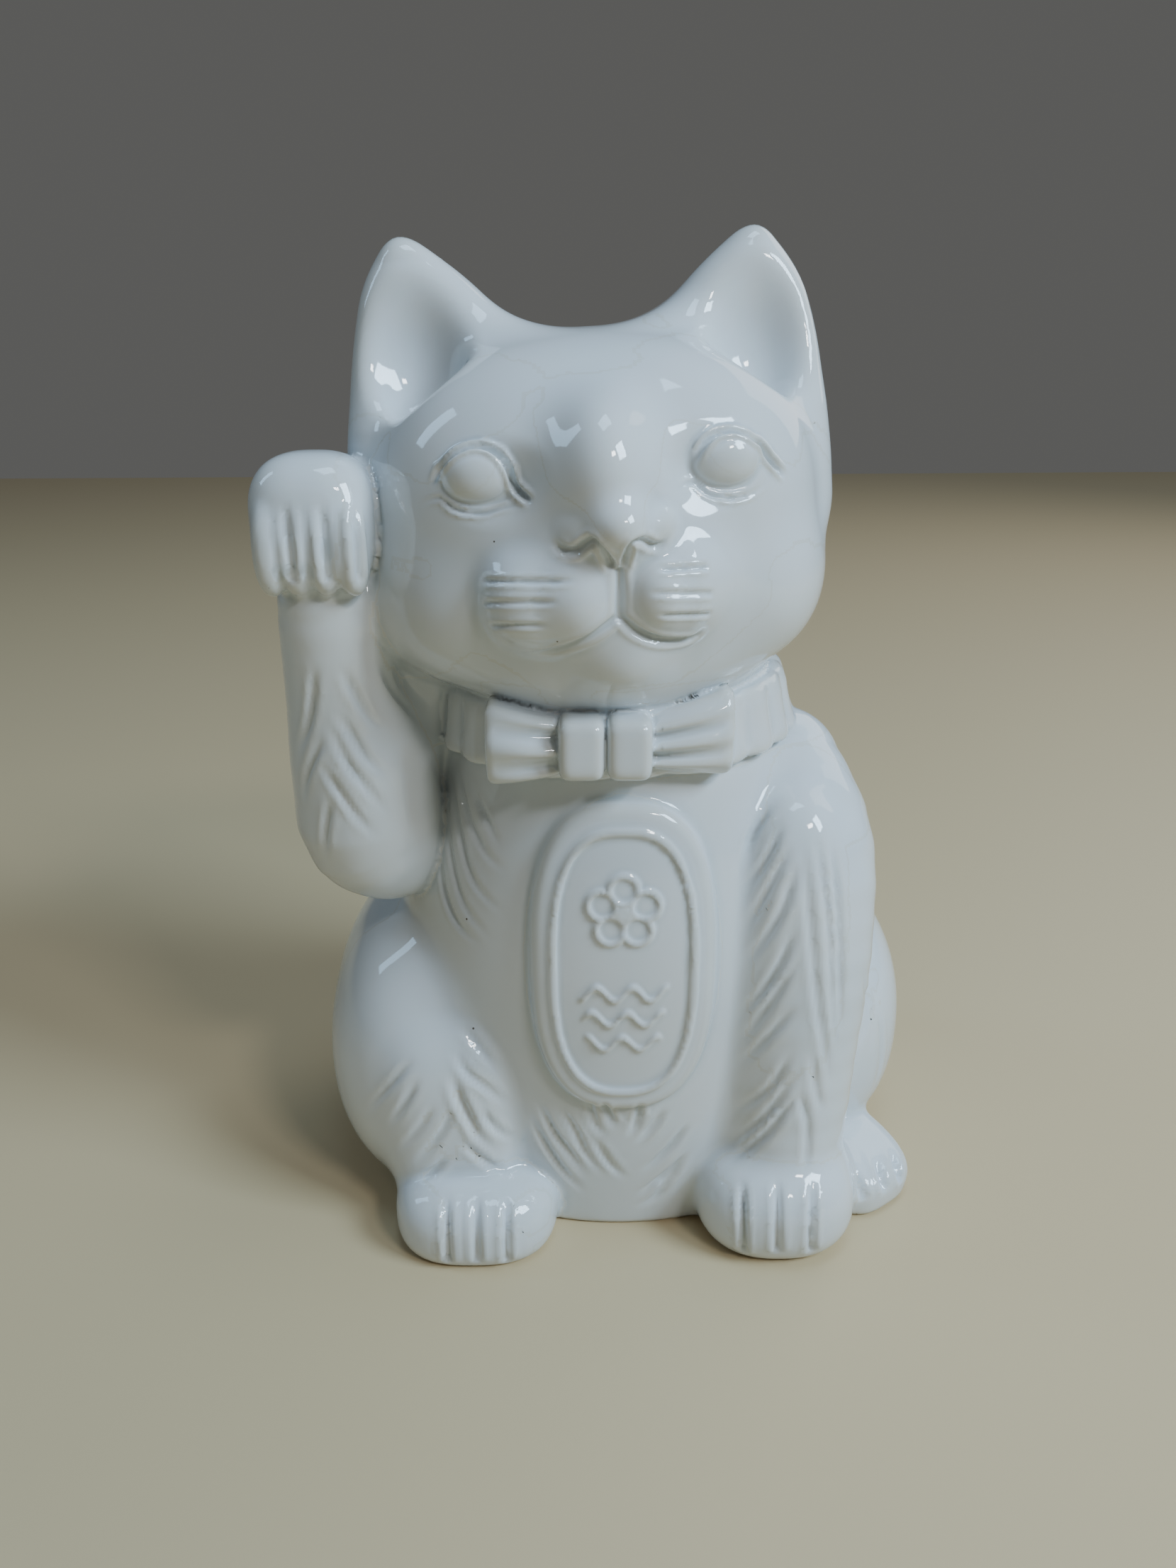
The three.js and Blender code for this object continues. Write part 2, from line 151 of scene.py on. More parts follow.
# %% Pressing and scooping
clay = []
spheres = []


class Place:
    """Where a group of lumps sits: a middle, and how it is turned."""

    def __init__(self, at=(0, 0, 0), turn=(0, 0, 0)):
        self.at, self.axes = np.array(at, float), axes_of(turn)

    def point(self, p):
        return self.at + self.axes @ np.array(p, float)


WORLD = Place()


def add_sphere(at, radii, axes):
    deselect()
    bpy.ops.mesh.primitive_uv_sphere_add(
        segments=24,
        ring_count=14,
        radius=1,
        location=[v * MM for v in at],
        rotation=Matrix(axes.tolist()).to_euler(),
        scale=[v * MM for v in radii],
    )
    spheres.append(bpy.context.object)


def press(at, radii, turn=(0, 0, 0), square=2.0, soft=5.0, place=WORLD):
    at, radii, axes = place.point(at), np.array(radii, float), place.axes @ axes_of(turn)
    add_sphere(at, radii, axes)
    clay.append(("press", lump_field(at, radii, axes, square), soft, at, radii.max() * 1.3))


def scoop(at, radii, turn=(0, 0, 0), square=2.0, soft=2.0, place=WORLD):
    at, radii, axes = place.point(at), np.array(radii, float), place.axes @ axes_of(turn)
    clay.append(("scoop", lump_field(at, radii, axes, square), soft, at, radii.max() * 1.3))


def press_limb(stations, soft=5.0, count=14):
    """A limb through (x, y, z, radius) stations."""
    stations = np.array(stations, float)
    steps = np.concatenate([[0], np.cumsum(np.linalg.norm(np.diff(stations[:, :3], axis=0), axis=1))])
    beads = flow(np.linspace(0, steps[-1], count), steps, stations)
    for b in beads:
        add_sphere(b[:3], np.full(3, b[3]), np.eye(3))
    middle = beads[:, :3].mean(0)
    reach = np.linalg.norm(beads[:, :3] - middle, axis=1).max() + beads[:, 3].max()
    clay.append(("press", limb_field(beads), soft, middle, reach))


def skin(p):
    """Distance of each point from the finished form."""
    d = np.full(len(p), 1e3)
    for how, field, soft, middle, reach in clay:
        near = np.linalg.norm(p - middle, axis=1) < reach + soft + 12
        if not near.any():
            continue
        e = field(p[near])
        d[near] = soft_min(d[near], e, soft) if how == "press" else soft_max(d[near], -e, soft)
    return d


def settle(o, field, rounds=5):
    """Moves every vertex of o onto the skin of the field."""
    n = len(o.data.vertices)
    p = np.empty(n * 3, np.float32)
    o.data.vertices.foreach_get("co", p)
    p = p.reshape(n, 3).astype(float) / MM
    step = 0.05
    for _ in range(rounds):
        d = field(p)
        slope = np.stack([(field(p + step * np.eye(3)[k]) - d) / step for k in range(3)], 1)
        size = np.linalg.norm(slope, axis=1)
        move = np.clip(d / np.maximum(size, 0.4), -1.8, 1.8)
        p -= slope / np.maximum(size, 1e-3)[:, None] * move[:, None]
    o.data.vertices.foreach_set("co", (p * MM).astype(np.float32).ravel())
    o.data.update()
    return np.abs(field(p)).max()


def remesh(o, size):
    pick(o)
    m = o.modifiers.new("even skin", "REMESH")
    m.mode = "VOXEL"
    m.voxel_size = size * MM
    m.use_smooth_shade = True
    apply_all(o)


# %% [markdown]
# ## The body
# The torso is a column of rings that narrows to the neck. The base is flat, so the last cut takes off
# everything below the table top.

# %% Torso
TORSO_Z = [0, 20, 45, 70, 90, 105, 118, 136]
TORSO = [  # middle x, middle y, half width, half depth
    (0, 3, 49, 48),
    (0, 3, 53, 51),
    (0, 2, 54, 52),
    (0, 0, 51, 51),
    (0, -2, 45, 47),
    (0, -5, 39, 41),
    (-1, -8, 34, 35),
    (-2, -10, 31, 31),
]


ROUND = 2.15  # 2 is an ellipse, more is squarer


def torso_field(p):
    ring = flow(p[:, 2], TORSO_Z, TORSO)
    away = p[:, :2] - ring[:, :2]
    r = np.linalg.norm(away, axis=1) + 1e-6
    rho = ((np.abs(away / ring[:, 2:]) ** ROUND).sum(1)) ** (1 / ROUND) + 1e-9
    return r * (1 - 1 / rho)


def torso_clay(p):
    return soft_max(torso_field(p), p[:, 2] - TORSO_Z[-1], 4)


def loft(zs, rings):
    """A closed skin through rings of (middle x, middle y, half width, half depth), extruded upwards."""
    deselect()
    bpy.ops.mesh.primitive_circle_add(vertices=64, radius=1.0, fill_type="NGON")
    o = bpy.context.object
    bpy.ops.object.mode_set(mode="EDIT")
    last = (0, 0, 0, 1 / MM, 1 / MM)
    for k, (z, (x, y, a, b)) in enumerate(zip(zs, rings)):
        if k:
            bpy.ops.mesh.extrude_region_move()
        bpy.ops.transform.resize(
            value=(a / last[3], b / last[4], 1), center_override=(last[0] * MM, last[1] * MM, last[2] * MM)
        )
        bpy.ops.transform.translate(value=((x - last[0]) * MM, (y - last[1]) * MM, (z - last[2]) * MM))
        last = (x, y, z, a, b)
    bpy.ops.mesh.select_all(action="SELECT")
    bpy.ops.mesh.normals_make_consistent(inside=False)
    bpy.ops.object.mode_set(mode="OBJECT")
    return o


spheres.append(loft(TORSO_Z, TORSO))
clay.append(("press", torso_clay, 1.0, np.array([0, 0, 68.0]), 110))

# %% [markdown]
# ## The legs
# On the real figurine the haunches and paws are part of the same mould. A haunch is one large egg with a
# smaller one for the knee. A leg is a string of balls whose radius flows from one station to the next. A
# low value of `soft` leaves a crease between two lumps, a high one lets them run together.

# %% Haunches, legs and paws
press((-46, -1, 33), (24, 40, 35), square=2.2, soft=5)  # right haunch
press((-44.5, -23, 32), (21, 23, 33), soft=8)
press((-37.5, -31, 26), (17.3, 17.5, 27), square=3, soft=3)  # its knee
press((47, 9, 30), (25, 38, 33), square=2.2, soft=5)  # left haunch
press((-32.8, -42, 6.5), (18.5, 18, 10.8), square=2.7, soft=2)  # right hind paw
press((48.9, -21.8, 7), (13, 23.5, 8), turn=(10, 0, 37.6), square=3.2, soft=3)  # left hind foot
LEG = [(36, -12, 100, 14), (38, -24, 88, 17), (39, -32, 68, 16), (38, -36, 42, 14.5), (36.5, -38, 18, 14)]
press_limb(LEG, soft=5)
press((36.3, -33.5, 57), (14, 15.5, 46), square=2.5, soft=3)  # the flat inner side of the left foreleg
press((34.8, -42.5, 9), (18.2, 17.5, 13), square=2.4, soft=4)  # left forepaw
ARM = [  # x, y, z, radius, from the elbow up
    (-49, -22, 83, 9), (-53, -24, 89.5, 14.5), (-55, -26, 104, 14.8),
    (-57.5, -29, 122, 11.3), (-58.3, -33, 143, 9.5),
]
press_limb(ARM, soft=1.4)
press((-45, -15, 124), (13, 10, 26), soft=5)  # web behind the forearm
TAIL = [  # from the root to the tip
    (-12, 50, 8, 6), (6, 53, 8, 7), (21, 51, 15, 6.5), (25, 50, 28, 6), (17, 49.5, 40, 5.5), (9, 48, 41, 4.5)
]
press_limb(TAIL, soft=2.5, count=18)

# %% [markdown]
# ## The head
# The head is tilted and turned a little, so its lumps are placed in a frame of their own.

# %% Skull and muzzle
HEAD = Place((-5.5, -13, 157), (0, -3, 3))
press((0, 0, 1), (45.2, 41.5, 35.5), square=2.5, soft=5, place=HEAD)
for side in (-1, 1):
    press((side * 26.5, -4, -13), (18.7, 31, 18), soft=8, place=HEAD)
press((1, -20, -21), (27, 18.5, 14.5), square=2.2, soft=8, place=HEAD)  # jaw
press((0, -37, 11), (8.5, 12, 13), soft=9, place=HEAD)  # bridge of the nose
press((2, -36, -21), (7, 7.5, 6), soft=7, place=HEAD)  # chin
press((1, -37.5, -8), (19, 8, 11), soft=9, place=HEAD)  # muzzle
press((-13.2, -38.4, -8.9), (9, 8.2, 8.2), square=2.3, soft=4, place=HEAD)  # whisker pads
press((-6, -40.2, -8.8), (8.6, 8.6, 8.6), soft=2, place=HEAD)
press((12.2, -38.8, -8.2), (6.6, 8, 7.6), square=2.3, soft=4, place=HEAD)
press((8.6, -40.2, -8.3), (7.2, 8.6, 8.2), soft=1.2, place=HEAD)


# %% [markdown]
# An ear is not a lump but the space inside a few straight edges, because real ears end in a point and egg
# shapes do not. The edges are melted together so that the rim stays round enough for glaze. The raised
# paw is a square-sided lump with four toes on its front.

# %% Ears and fist
EAR_EDGES = {
    -1: [(0.995, 0.1, 49.2), (0.93, 0.365, 57), (0.65, 0.76, 65.4), (-0.46, 0.888, 34), (-0.74, 0.674, 15.2)],
    1: [(1.0, 0.0, 46.6), (0.93, 0.365, 56.2), (0.65, 0.76, 64), (-0.46, 0.888, 32.9), (-0.74, 0.674, 14.2)],
}


def ear_field(side):
    def distance(p):
        q = (p - HEAD.at) @ HEAD.axes
        x, y, z = side * q[:, 0], q[:, 1], q[:, 2]
        d = np.full(len(p), -1e3)
        for nx, nz, c in EAR_EDGES[side]:
            d = soft_max(d, nx * x + nz * z - c, 5)
        d = soft_max(d, -z, 5)
        thick = np.interp(z, [20, 50], [13, 5.5])
        return soft_max(d, np.abs(y - 1) - thick, 7)

    return distance


for side in (-1, 1):
    middle = HEAD.point((side * 31, 0, 30))
    add_sphere(HEAD.point((side * 32, 0, 28)), np.array([15, 10, 24.0]), HEAD.axes)
    clay.append(("press", ear_field(side), 9.0, middle, 36))
    scoop((side * 33, -13, 35), (9.5, 9, 14.5), turn=(0, side * 4, 0), soft=4, place=HEAD)
press((-58.7, -34, 159), (12.1, 12, 12.9), square=2.7, soft=1.2)  # fist
for x in (-66, -61, -55.8, -50.7):
    press((x, -41.8, 154.8), (3.2, 5.2, 8.8), square=2.3, soft=1.6)  # its toes

# %% [markdown]
# Each eye is a socket scooped out of the head with a ball set back into it. The groove between the two is
# what reads as an eyelid from a few steps away. The nose is one lump with a wing on each side.

# %% Eyes and nose
for side in (-1, 1):
    scoop((side * 21.2, -43.5, 13), (8.8, 8, 6.6), soft=4, place=HEAD)
    press((side * 21.2, -32.6, 13), (7.4, 6.6, 6.1), square=2.1, soft=0.5, place=HEAD)
press((1.8, -44.2, 4), (5.6, 7.4, 5), soft=3.5, place=HEAD)  # tip of the nose
for side in (-1, 1):
    press((1.8 + side * 6.2, -41.6, 3.2), (4, 5, 3.6), soft=2.2, place=HEAD)  # wings of the nose

# %% [markdown]
# ## The coin tablet
# The oval coin on the belly is the belly's own surface moved out by a few millimetres inside an oval, so
# it follows the curve behind it. A bead runs round it inside the edge. Above is a plum blossom and below
# it are three waves, both plain good-luck signs.

# %% Koban
KOBAN = np.array([0.0, 71.0])  # middle, across and up
KOBAN_HALF = np.array([19.2, 34.6])
BEAD_HALF = np.array([14.4, 29.3])


def oval(p, half, square=2.7):
    away = p[:, [0, 2]] - KOBAN
    r = np.linalg.norm(away, axis=1) + 1e-6
    return r * (1 - 1 / ((np.abs(away / half) ** square).sum(1) ** (1 / square) + 1e-9))


def ridge(d, width):
    return np.exp(-((d / width) ** 2))


def emblem(x, z):
    """Height of the blossom and the waves, 0 to 1."""
    u, v = x - KOBAN[0], z - (KOBAN[1] + 13)
    around = (np.arctan2(u, v) + np.pi / 5) % (2 * np.pi / 5) - np.pi / 5
    r = np.hypot(u, v)
    petal = np.hypot(r * np.sin(around), r * np.cos(around) - 4.6) - 2.9
    high = ridge(petal, 0.65)
    high = np.maximum(high, ridge(np.maximum(r - 1.3, 0), 0.6))
    for k, level in enumerate((-5, -11, -17)):
        w = z - (KOBAN[1] + level) - 1.5 * np.sin(u * 0.85 + k * 0.9)
        reach = np.clip((9.5 - 0.6 * k - np.abs(u)) / 1.5, 0, 1)
        high = np.maximum(high, ridge(w, 0.75) * reach)
    return high


def koban_clay(p):
    front = np.where(p[:, 1] < 0, torso_field(p), 50)
    bead = oval(p, BEAD_HALF)
    high = 3.0 + 0.75 * ridge(bead, 0.95) - 0.35 * np.clip(-bead, 0, 1) + 0.75 * emblem(p[:, 0], p[:, 2])
    return soft_max(oval(p, KOBAN_HALF), front - high, 2.6)


clay.append(("press", koban_clay, 1.6, np.array([0, -48, 71.0]), 42))

# %% [markdown]
# ## Collar and bow
# The collar is a pleated ribbon round the neck. Its bow has a knot in two cushions and two flaring loops,
# each with folds that run out from the knot.

# %% Collar and bow
COLLAR_Z, COLLAR_HALF, PLEATS = 117.6, 6.7, 13  # middle height, half width, pleats in half a turn


def collar_level(p):
    return COLLAR_Z + 0.03 * p[:, 0]


def collar_clay(p):
    around = np.arctan2(p[:, 0] + 1, -(p[:, 1] + 8))
    up = p[:, 2] - collar_level(p)
    fold = np.sqrt(np.sin(around * PLEATS) ** 2 + 0.02) * np.clip((8.5 - up) / 5, 0.25, 1)
    out = torso_field(p) - (3.6 + 1.1 * fold + 0.08 * up)
    return soft_max(out, np.abs(up) - COLLAR_HALF - 0.3 * fold, 1.8)


clay.append(("press", collar_clay, 0.8, np.array([-1, -8, COLLAR_Z]), 55))


def torso_core(grow, low, high):
    """The torso column, grown or shrunk, between two heights."""
    zs = np.linspace(low, high, 12)
    rings = flow(zs, TORSO_Z, TORSO)
    rings[:, 2:] += grow
    return loft(list(zs), [tuple(ring) for ring in rings])


spheres.append(torso_core(4.2, 111.5, 123.5))

LOOPS = {  # foot, length, half height at the knot and at the end, middle height at both, folds
    -1: (-12.4, 13.6, 5.6, 8.2, 117.4, 118.0, 1.1),
    1: (5.0, 15.6, 5.6, 8.9, 117.8, 119.6, 1.6),
}


def loop_field(side):
    foot, length, near, far, low, high, folds = LOOPS[side]

    def distance(p):
        u = side * (p[:, 0] - foot)
        t = np.clip(u / length, 0, 1)
        half = near + (far - near) * t
        v = (p[:, 2] - (low + (high - low) * t)) / half
        front = -50.2 - 1.3 * np.sin(t * 2.6) + 2.2 * v * v + 0.12 * p[:, 0] * (side > 0)
        front = front - 1.0 * np.cos(np.pi * 2 * folds * v) * np.clip(1.25 - t, 0, 1)
        d = soft_max((np.abs(v) - 1) * half, np.abs(u - length / 2) - length / 2 - 0.8, 2.2)
        return soft_max(d, soft_max(front - p[:, 1], p[:, 1] + 40, 1), 1.8)

    return distance


for side in (-1, 1):
    foot, length = LOOPS[side][:2]
    clay.append(("press", loop_field(side), 0.7, np.array([foot + side * length / 2, -48, 118]), 16))
    add_sphere(np.array([foot + side * length / 2, -45, 118]), np.array([8, 6, 7.0]), np.eye(3))
for x, half in ((-8.2, 4.6), (1.0, 4.5)):
    press((x, -46, 118), (half, 8, 6.2), square=5.5, soft=0.35)  # the two cushions of the knot


# %% [markdown]
# ## From lumps to one skin
# The spheres are joined and remeshed at 1.2 mm, which gives one closed skin with an even grid. That skin
# is blocky where spheres meet, so every vertex is then moved along the slope of the field until it lies
# on the clay's surface. The print shows how far the worst vertex is from where it should be.

# %% Melt the lumps into one skin
FIRST_GRID, FINE_GRID = 1.2, 0.85


def report(what, off):
    seconds = round(time.time() - started)
    print(what, len(cat.data.vertices), "vertices, off by", round(off, 2), "mm after", seconds, "s")


def form(p):
    return soft_max(skin(p), -p[:, 2], 1.2)


pick(*spheres)
bpy.ops.object.join()
cat = bpy.context.object
cat.name = "cat"
bpy.ops.object.transform_apply(location=True, rotation=True, scale=True)
remesh(cat, FIRST_GRID)
left = settle(cat, form, 6)
report("first skin", left)

# %% [markdown]
# ## Coin slot and foot
# The slot in the back is cut while the clay is leather-hard, and its lips are sponged round. Underneath,
# the base is recessed so that the cat stands on a rim, and the hole for the stopper goes through it.


# %% Slot, recess and hole
def cut(target, cutter, how="DIFFERENCE", keep=False):
    pick(target)
    m = target.modifiers.new("cut", "BOOLEAN")
    m.operation, m.solver, m.object = how, "MANIFOLD", cutter
    apply_all(target)
    if not keep:
        bpy.data.objects.remove(cutter)


def block(low, high):
    deselect()
    low, high = np.array(low, float), np.array(high, float)
    bpy.ops.mesh.primitive_cube_add(size=1, location=(low + high) / 2 * MM, scale=(high - low) * MM)
    bpy.ops.object.transform_apply(location=True, rotation=True, scale=True)
    return bpy.context.object


def drum(x, y, radius, low, high):
    deselect()
    bpy.ops.mesh.primitive_cylinder_add(
        vertices=96,
        radius=radius * MM,
        depth=(high - low) * MM,
        location=(x * MM, y * MM, (low + high) / 2 * MM),
    )
    bpy.ops.object.transform_apply(location=True, rotation=True, scale=True)
    return bpy.context.object


stop_low, stop_high = [np.array(v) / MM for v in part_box("stopper")]
HOLE = (stop_low + stop_high)[:2] / 2
HOLE_RADIUS, HOLE_TOP, RECESS, SLAB = 12.5, 12, 3.5, 4.5
SLOT_HALF, SLOT_Z, SLOT_FRONT = (18, 2.5), 85, 34


def slot_field(p):
    across, up = np.abs(p[:, 0]) - SLOT_HALF[0], np.abs(p[:, 2] - SLOT_Z) - SLOT_HALF[1]
    return soft_max(soft_max(across, up, 1.5), SLOT_FRONT - p[:, 1], 1)


def recess_field(p):
    away = np.abs((p[:, :2] - (0, 3)) / (41.5, 40.5)) + 1e-6
    rho = (away**ROUND).sum(1) ** (1 / ROUND)
    return soft_max((rho - 1) * 41, p[:, 2] - RECESS, 1.5)


def hole_field(p):
    return soft_max(np.linalg.norm(p[:, :2] - HOLE, axis=1) - HOLE_RADIUS, p[:, 2] - HOLE_TOP, 1)


def finished_form(p):
    d = form(p)
    d = soft_max(d, -slot_field(p), 1.4)
    d = soft_max(d, -recess_field(p), 1.2)
    return soft_max(d, -hole_field(p), 0.6)


cut(cat, block((-18, SLOT_FRONT, SLOT_Z - 2.5), (18, 60, SLOT_Z + 2.5)))
cut(cat, drum(0, 3, 41, -5, RECESS))
cut(cat, drum(*HOLE, HOLE_RADIUS, -5, HOLE_TOP))
remesh(cat, FINE_GRID)
left = settle(cat, finished_form, 3)
report("even skin", left)

# %% [markdown]
# ## Scoring the clay
# Fur, toes, lids and whiskers are tool marks. A mark is drawn on an upright sheet in front of the cat and
# carried back to the clay along the line of sight, and then the skin under it is pushed in, with a small
# lip on each side.

# %% A tool that scores a line
EYE = np.array([-7.0, -263.0, 192.0])
OVERSHOOT = 0.7  # the tool enters and leaves this far beyond the deep part of a stroke
rng = np.random.default_rng(7)


def coords(o):
    p = np.empty(len(o.data.vertices) * 3, np.float32)
    o.data.vertices.foreach_get("co", p)
    return p.reshape(-1, 3).astype(float) / MM


def put(o, p):
    o.data.vertices.foreach_set("co", (p * MM).astype(np.float32).ravel())
    o.data.update()


def normals(o):
    n = np.empty(len(o.data.vertices) * 3, np.float32)
    o.data.vertices.foreach_get("normal", n)
    return n.reshape(-1, 3).astype(float)


def smooth_path(path, count=16):
    path = np.array(path, float)
    if len(path) == 2:
        path = np.array([path[0], path.mean(0), path[1]])
    along = np.concatenate([[0], np.cumsum(np.linalg.norm(np.diff(path, axis=0), axis=1))])
    return flow(np.linspace(0, along[-1], count), along, path)


class Scribe:
    def __init__(self, o):
        self.o, self.p, self.n = o, coords(o), normals(o)
        self.shift = np.zeros(len(self.p))
        self.tree = BVHTree.FromPolygons(
            [Vector(v) for v in self.p], [list(f.vertices) for f in o.data.polygons], epsilon=0
        )

    def carry(self, path, sheet):
        found = []
        for x, z in path:
            ray = Vector(np.array([x, sheet, z]) - EYE).normalized()
            hit = self.tree.ray_cast(Vector(EYE), ray)[0]
            if hit is not None:
                found.append(hit)
        return np.array(found)

    def mark(self, path, depth, width, sheet=-50.0, ends=(0.35, 0.5), lip=0.3):
        line = self.carry(smooth_path(path), sheet)
        if len(line) < 3:
            return
        reach = width * 3.5
        near = np.where(((self.p > line.min(0) - reach) & (self.p < line.max(0) + reach)).all(1))[0]
        q = self.p[near]
        best, where = np.full(len(q), 1e3), np.zeros(len(q))
        for i, (a, b) in enumerate(zip(line, line[1:])):
            run = b - a
            h = np.clip((q - a) @ run / (run @ run + 1e-9), 0, 1)
            gap = np.linalg.norm(q - a - h[:, None] * run, axis=1)
            closer = gap < best
            best[closer], where[closer] = gap[closer], ((i + h) / (len(line) - 1))[closer]
        fade = np.clip(where / max(ends[0], 1e-3), 0, 1) * np.clip((1 - where) / max(ends[1], 1e-3), 0, 1)
        fade = fade * fade * (3 - 2 * fade)
        t = best / width
        cut = -depth * fade * (np.exp(-t * t * 1.6) - lip * np.exp(-((t - 1.7) ** 2) * 2.5))
        old = self.shift[near]
        self.shift[near] = np.where(np.abs(cut) > np.abs(old), cut, old)

    def marks(self, paths, depth, width, **more):
        for path in paths:
            path = np.array(path, float)
            path[0] += OVERSHOOT * (path[0] - path[1])
            path[-1] += OVERSHOOT * (path[-1] - path[-2])
            self.mark(path + rng.normal(0, 0.12, path.shape), depth * rng.uniform(0.85, 1.15), width, **more)

    def finish(self):
        put(self.o, self.p + self.n * self.shift[:, None])


# %% [markdown]
# The face, the bow and the coin carry lines thinner than a millimetre, so their faces are halved once.
# Halving only these keeps the whole cat light.

# %% Finer skin where the detail is small
def finer(o, where):
    middle = coords(o)[np.array([f.vertices[0] for f in o.data.polygons])]
    pick(o)
    bpy.ops.object.mode_set(mode="EDIT")
    bpy.ops.mesh.select_all(action="DESELECT")
    bpy.ops.object.mode_set(mode="OBJECT")
    o.data.polygons.foreach_set("select", where(*middle.T))
    bpy.ops.object.mode_set(mode="EDIT")
    bpy.ops.mesh.subdivide(number_cuts=1)
    bpy.ops.object.mode_set(mode="OBJECT")


def face_or_ornament(x, y, z):
    face = (y < -38) & (np.abs(x + 3) < 34) & (z > 136) & (z < 180)
    bow = (y < -41) & (np.abs(x + 2) < 28) & (z > 107) & (z < 130)
    tablet = (y < -38) & (((x / 20.5) ** 2 + ((z - 71) / 36) ** 2) < 1.15)
    return face | bow | tablet


finer(cat, face_or_ornament)
settle(cat, finished_form, 2)
print("with finer detail", len(cat.data.vertices), "vertices", round(time.time() - started), "s")

# %% [markdown]
# The fur comes in locks of a few long strokes that start steep and curl outwards. Each stroke below is
# three or four points across and up the sheet.

# %% Fur
tool = Scribe(cat)
RAISED_ARM = [
    [(-53.5, 129.5), (-51.5, 125), (-49.5, 121.5), (-47, 119.5)],
    [(-55, 121), (-53, 117), (-51, 113.5), (-48.5, 111)],
    [(-56.5, 118), (-55, 113), (-52, 108), (-49, 103.5)],
    [(-59, 110), (-56.5, 105.5), (-54.5, 102), (-51.5, 98)],
    [(-60.5, 128), (-62, 120.5), (-64, 116)],
    [(-60.5, 115), (-63, 110), (-64, 106)],
    [(-59.5, 102.5), (-60.5, 98), (-61, 93.5)],
    [(-46.5, 131), (-45, 127.5), (-42, 123.5)],
]
tool.marks(RAISED_ARM, 0.8, 1.0, sheet=-42)
CHEST = [
    [(-29.5, 105), (-28, 100.5), (-26, 96.5)],
    [(-32, 106), (-30.5, 98), (-28, 92.5), (-25, 89.5)],
    [(-34, 105), (-33, 96), (-31, 87), (-26.5, 81)],
    [(-35.5, 98), (-35, 90), (-33.5, 82), (-29.5, 75.5)],
    [(-37, 89), (-36.5, 82), (-35, 77), (-31.5, 73)],
]
tool.marks(CHEST, 0.65, 0.95, sheet=-42)
HAUNCH = [
    [(-33.5, 49.5), (-31, 45.5), (-28.5, 41.5)],
    [(-35.5, 43), (-33.5, 38.5), (-31, 36), (-27, 32.5)],
    [(-30.5, 28.5), (-29, 25.5), (-26.5, 23), (-24.5, 22.5)],
    [(-35, 19.5), (-32.5, 16.5), (-30, 14.5), (-26.5, 13)],
    [(-38.5, 28), (-40.5, 23.5), (-43, 19.5), (-46, 16)],
    [(-43, 28.5), (-45.5, 24.5), (-49, 20.5)],
    [(-46, 35.5), (-48, 32), (-51, 27.5)],
    [(-48.5, 39.5), (-53, 34), (-56, 30.5)],
    [(-41, 15), (-43.5, 12.5), (-46, 11)],
]
tool.marks(HAUNCH, 0.75, 1.0, sheet=-42)
tool.mark([(-37.5, 40), (-36.5, 34), (-34, 26.5), (-31, 20.5), (-27.5, 17.5)], 1.3, 1.2, sheet=-42)
BELLY = [
    [(-6.5, 35), (-5.5, 31), (-4, 29)],
    [(-3.5, 35), (-2, 31.5), (-1.5, 30.5)],
    [(3.5, 35), (3, 31.5), (2, 29)],
    [(-13, 34.5), (-10.5, 30), (-8.5, 24.5), (-5.5, 20)],
    [(-17, 34.5), (-14.5, 28.5), (-10.5, 23), (-8.5, 19)],
    [(-18.5, 30.5), (-16, 25), (-13.5, 20.5), (-10, 15.5)],
    [(-4.5, 25), (-2, 20.5), (0, 18)],
    [(8.5, 33.5), (7, 31), (4.5, 28)],
    [(13, 29), (10, 24.5), (7, 21), (5, 19.5)],
    [(13.5, 22.5), (11, 19), (8, 16.5), (5, 13.5)],
    [(12.5, 19.5), (10, 16), (7.5, 12), (5, 10)],
]
tool.marks(BELLY, 0.85, 0.95)
STANDING_LEG = [
    [(27.5, 104), (25.5, 100), (24.5, 96)],
    [(30, 99), (28, 94), (25.5, 89.5)],
    [(31.5, 93.5), (29, 87.5), (26, 81)],
    [(33.5, 89), (31.5, 81), (28.5, 76), (25.5, 71.5)],
    [(34, 76), (32, 70), (29, 64.5), (25.5, 60)],
    [(34, 68), (31, 62), (28, 56.5), (25.5, 52.5)],
    [(34, 58), (30, 52.5), (26, 48)],
    [(34.5, 46), (31.5, 40.5), (26, 36)],
    [(35, 40.5), (31.5, 34), (25.5, 28)],
    [(35.5, 35), (32, 29), (25.5, 23)],
]
tool.marks(STANDING_LEG, 0.85, 1.05)
OUTER_LEG = [
    [(36.5, 90), (38.5, 76.5), (40.5, 62), (43, 49)],
    [(39, 93.5), (41.5, 81), (43.5, 63.5), (44.5, 54.5)],
    [(41.5, 93.5), (43.5, 81), (45, 64)],
    [(41, 45), (42, 38.5), (43, 36)],
    [(38.5, 37.5), (40, 33), (40.5, 24)],
]
tool.marks(OUTER_LEG, 0.55, 1.0, ends=(0.3, 0.3))
tool.marks([[(50, 66), (51, 60), (50, 52)], [(54, 56), (55, 48), (54, 40)]], 0.4, 1.2)

# %% [markdown]
# Toes are pressed with the edge of a broader tool, deepest at the ground and fading upwards, so those
# marks start soft and end sharp.

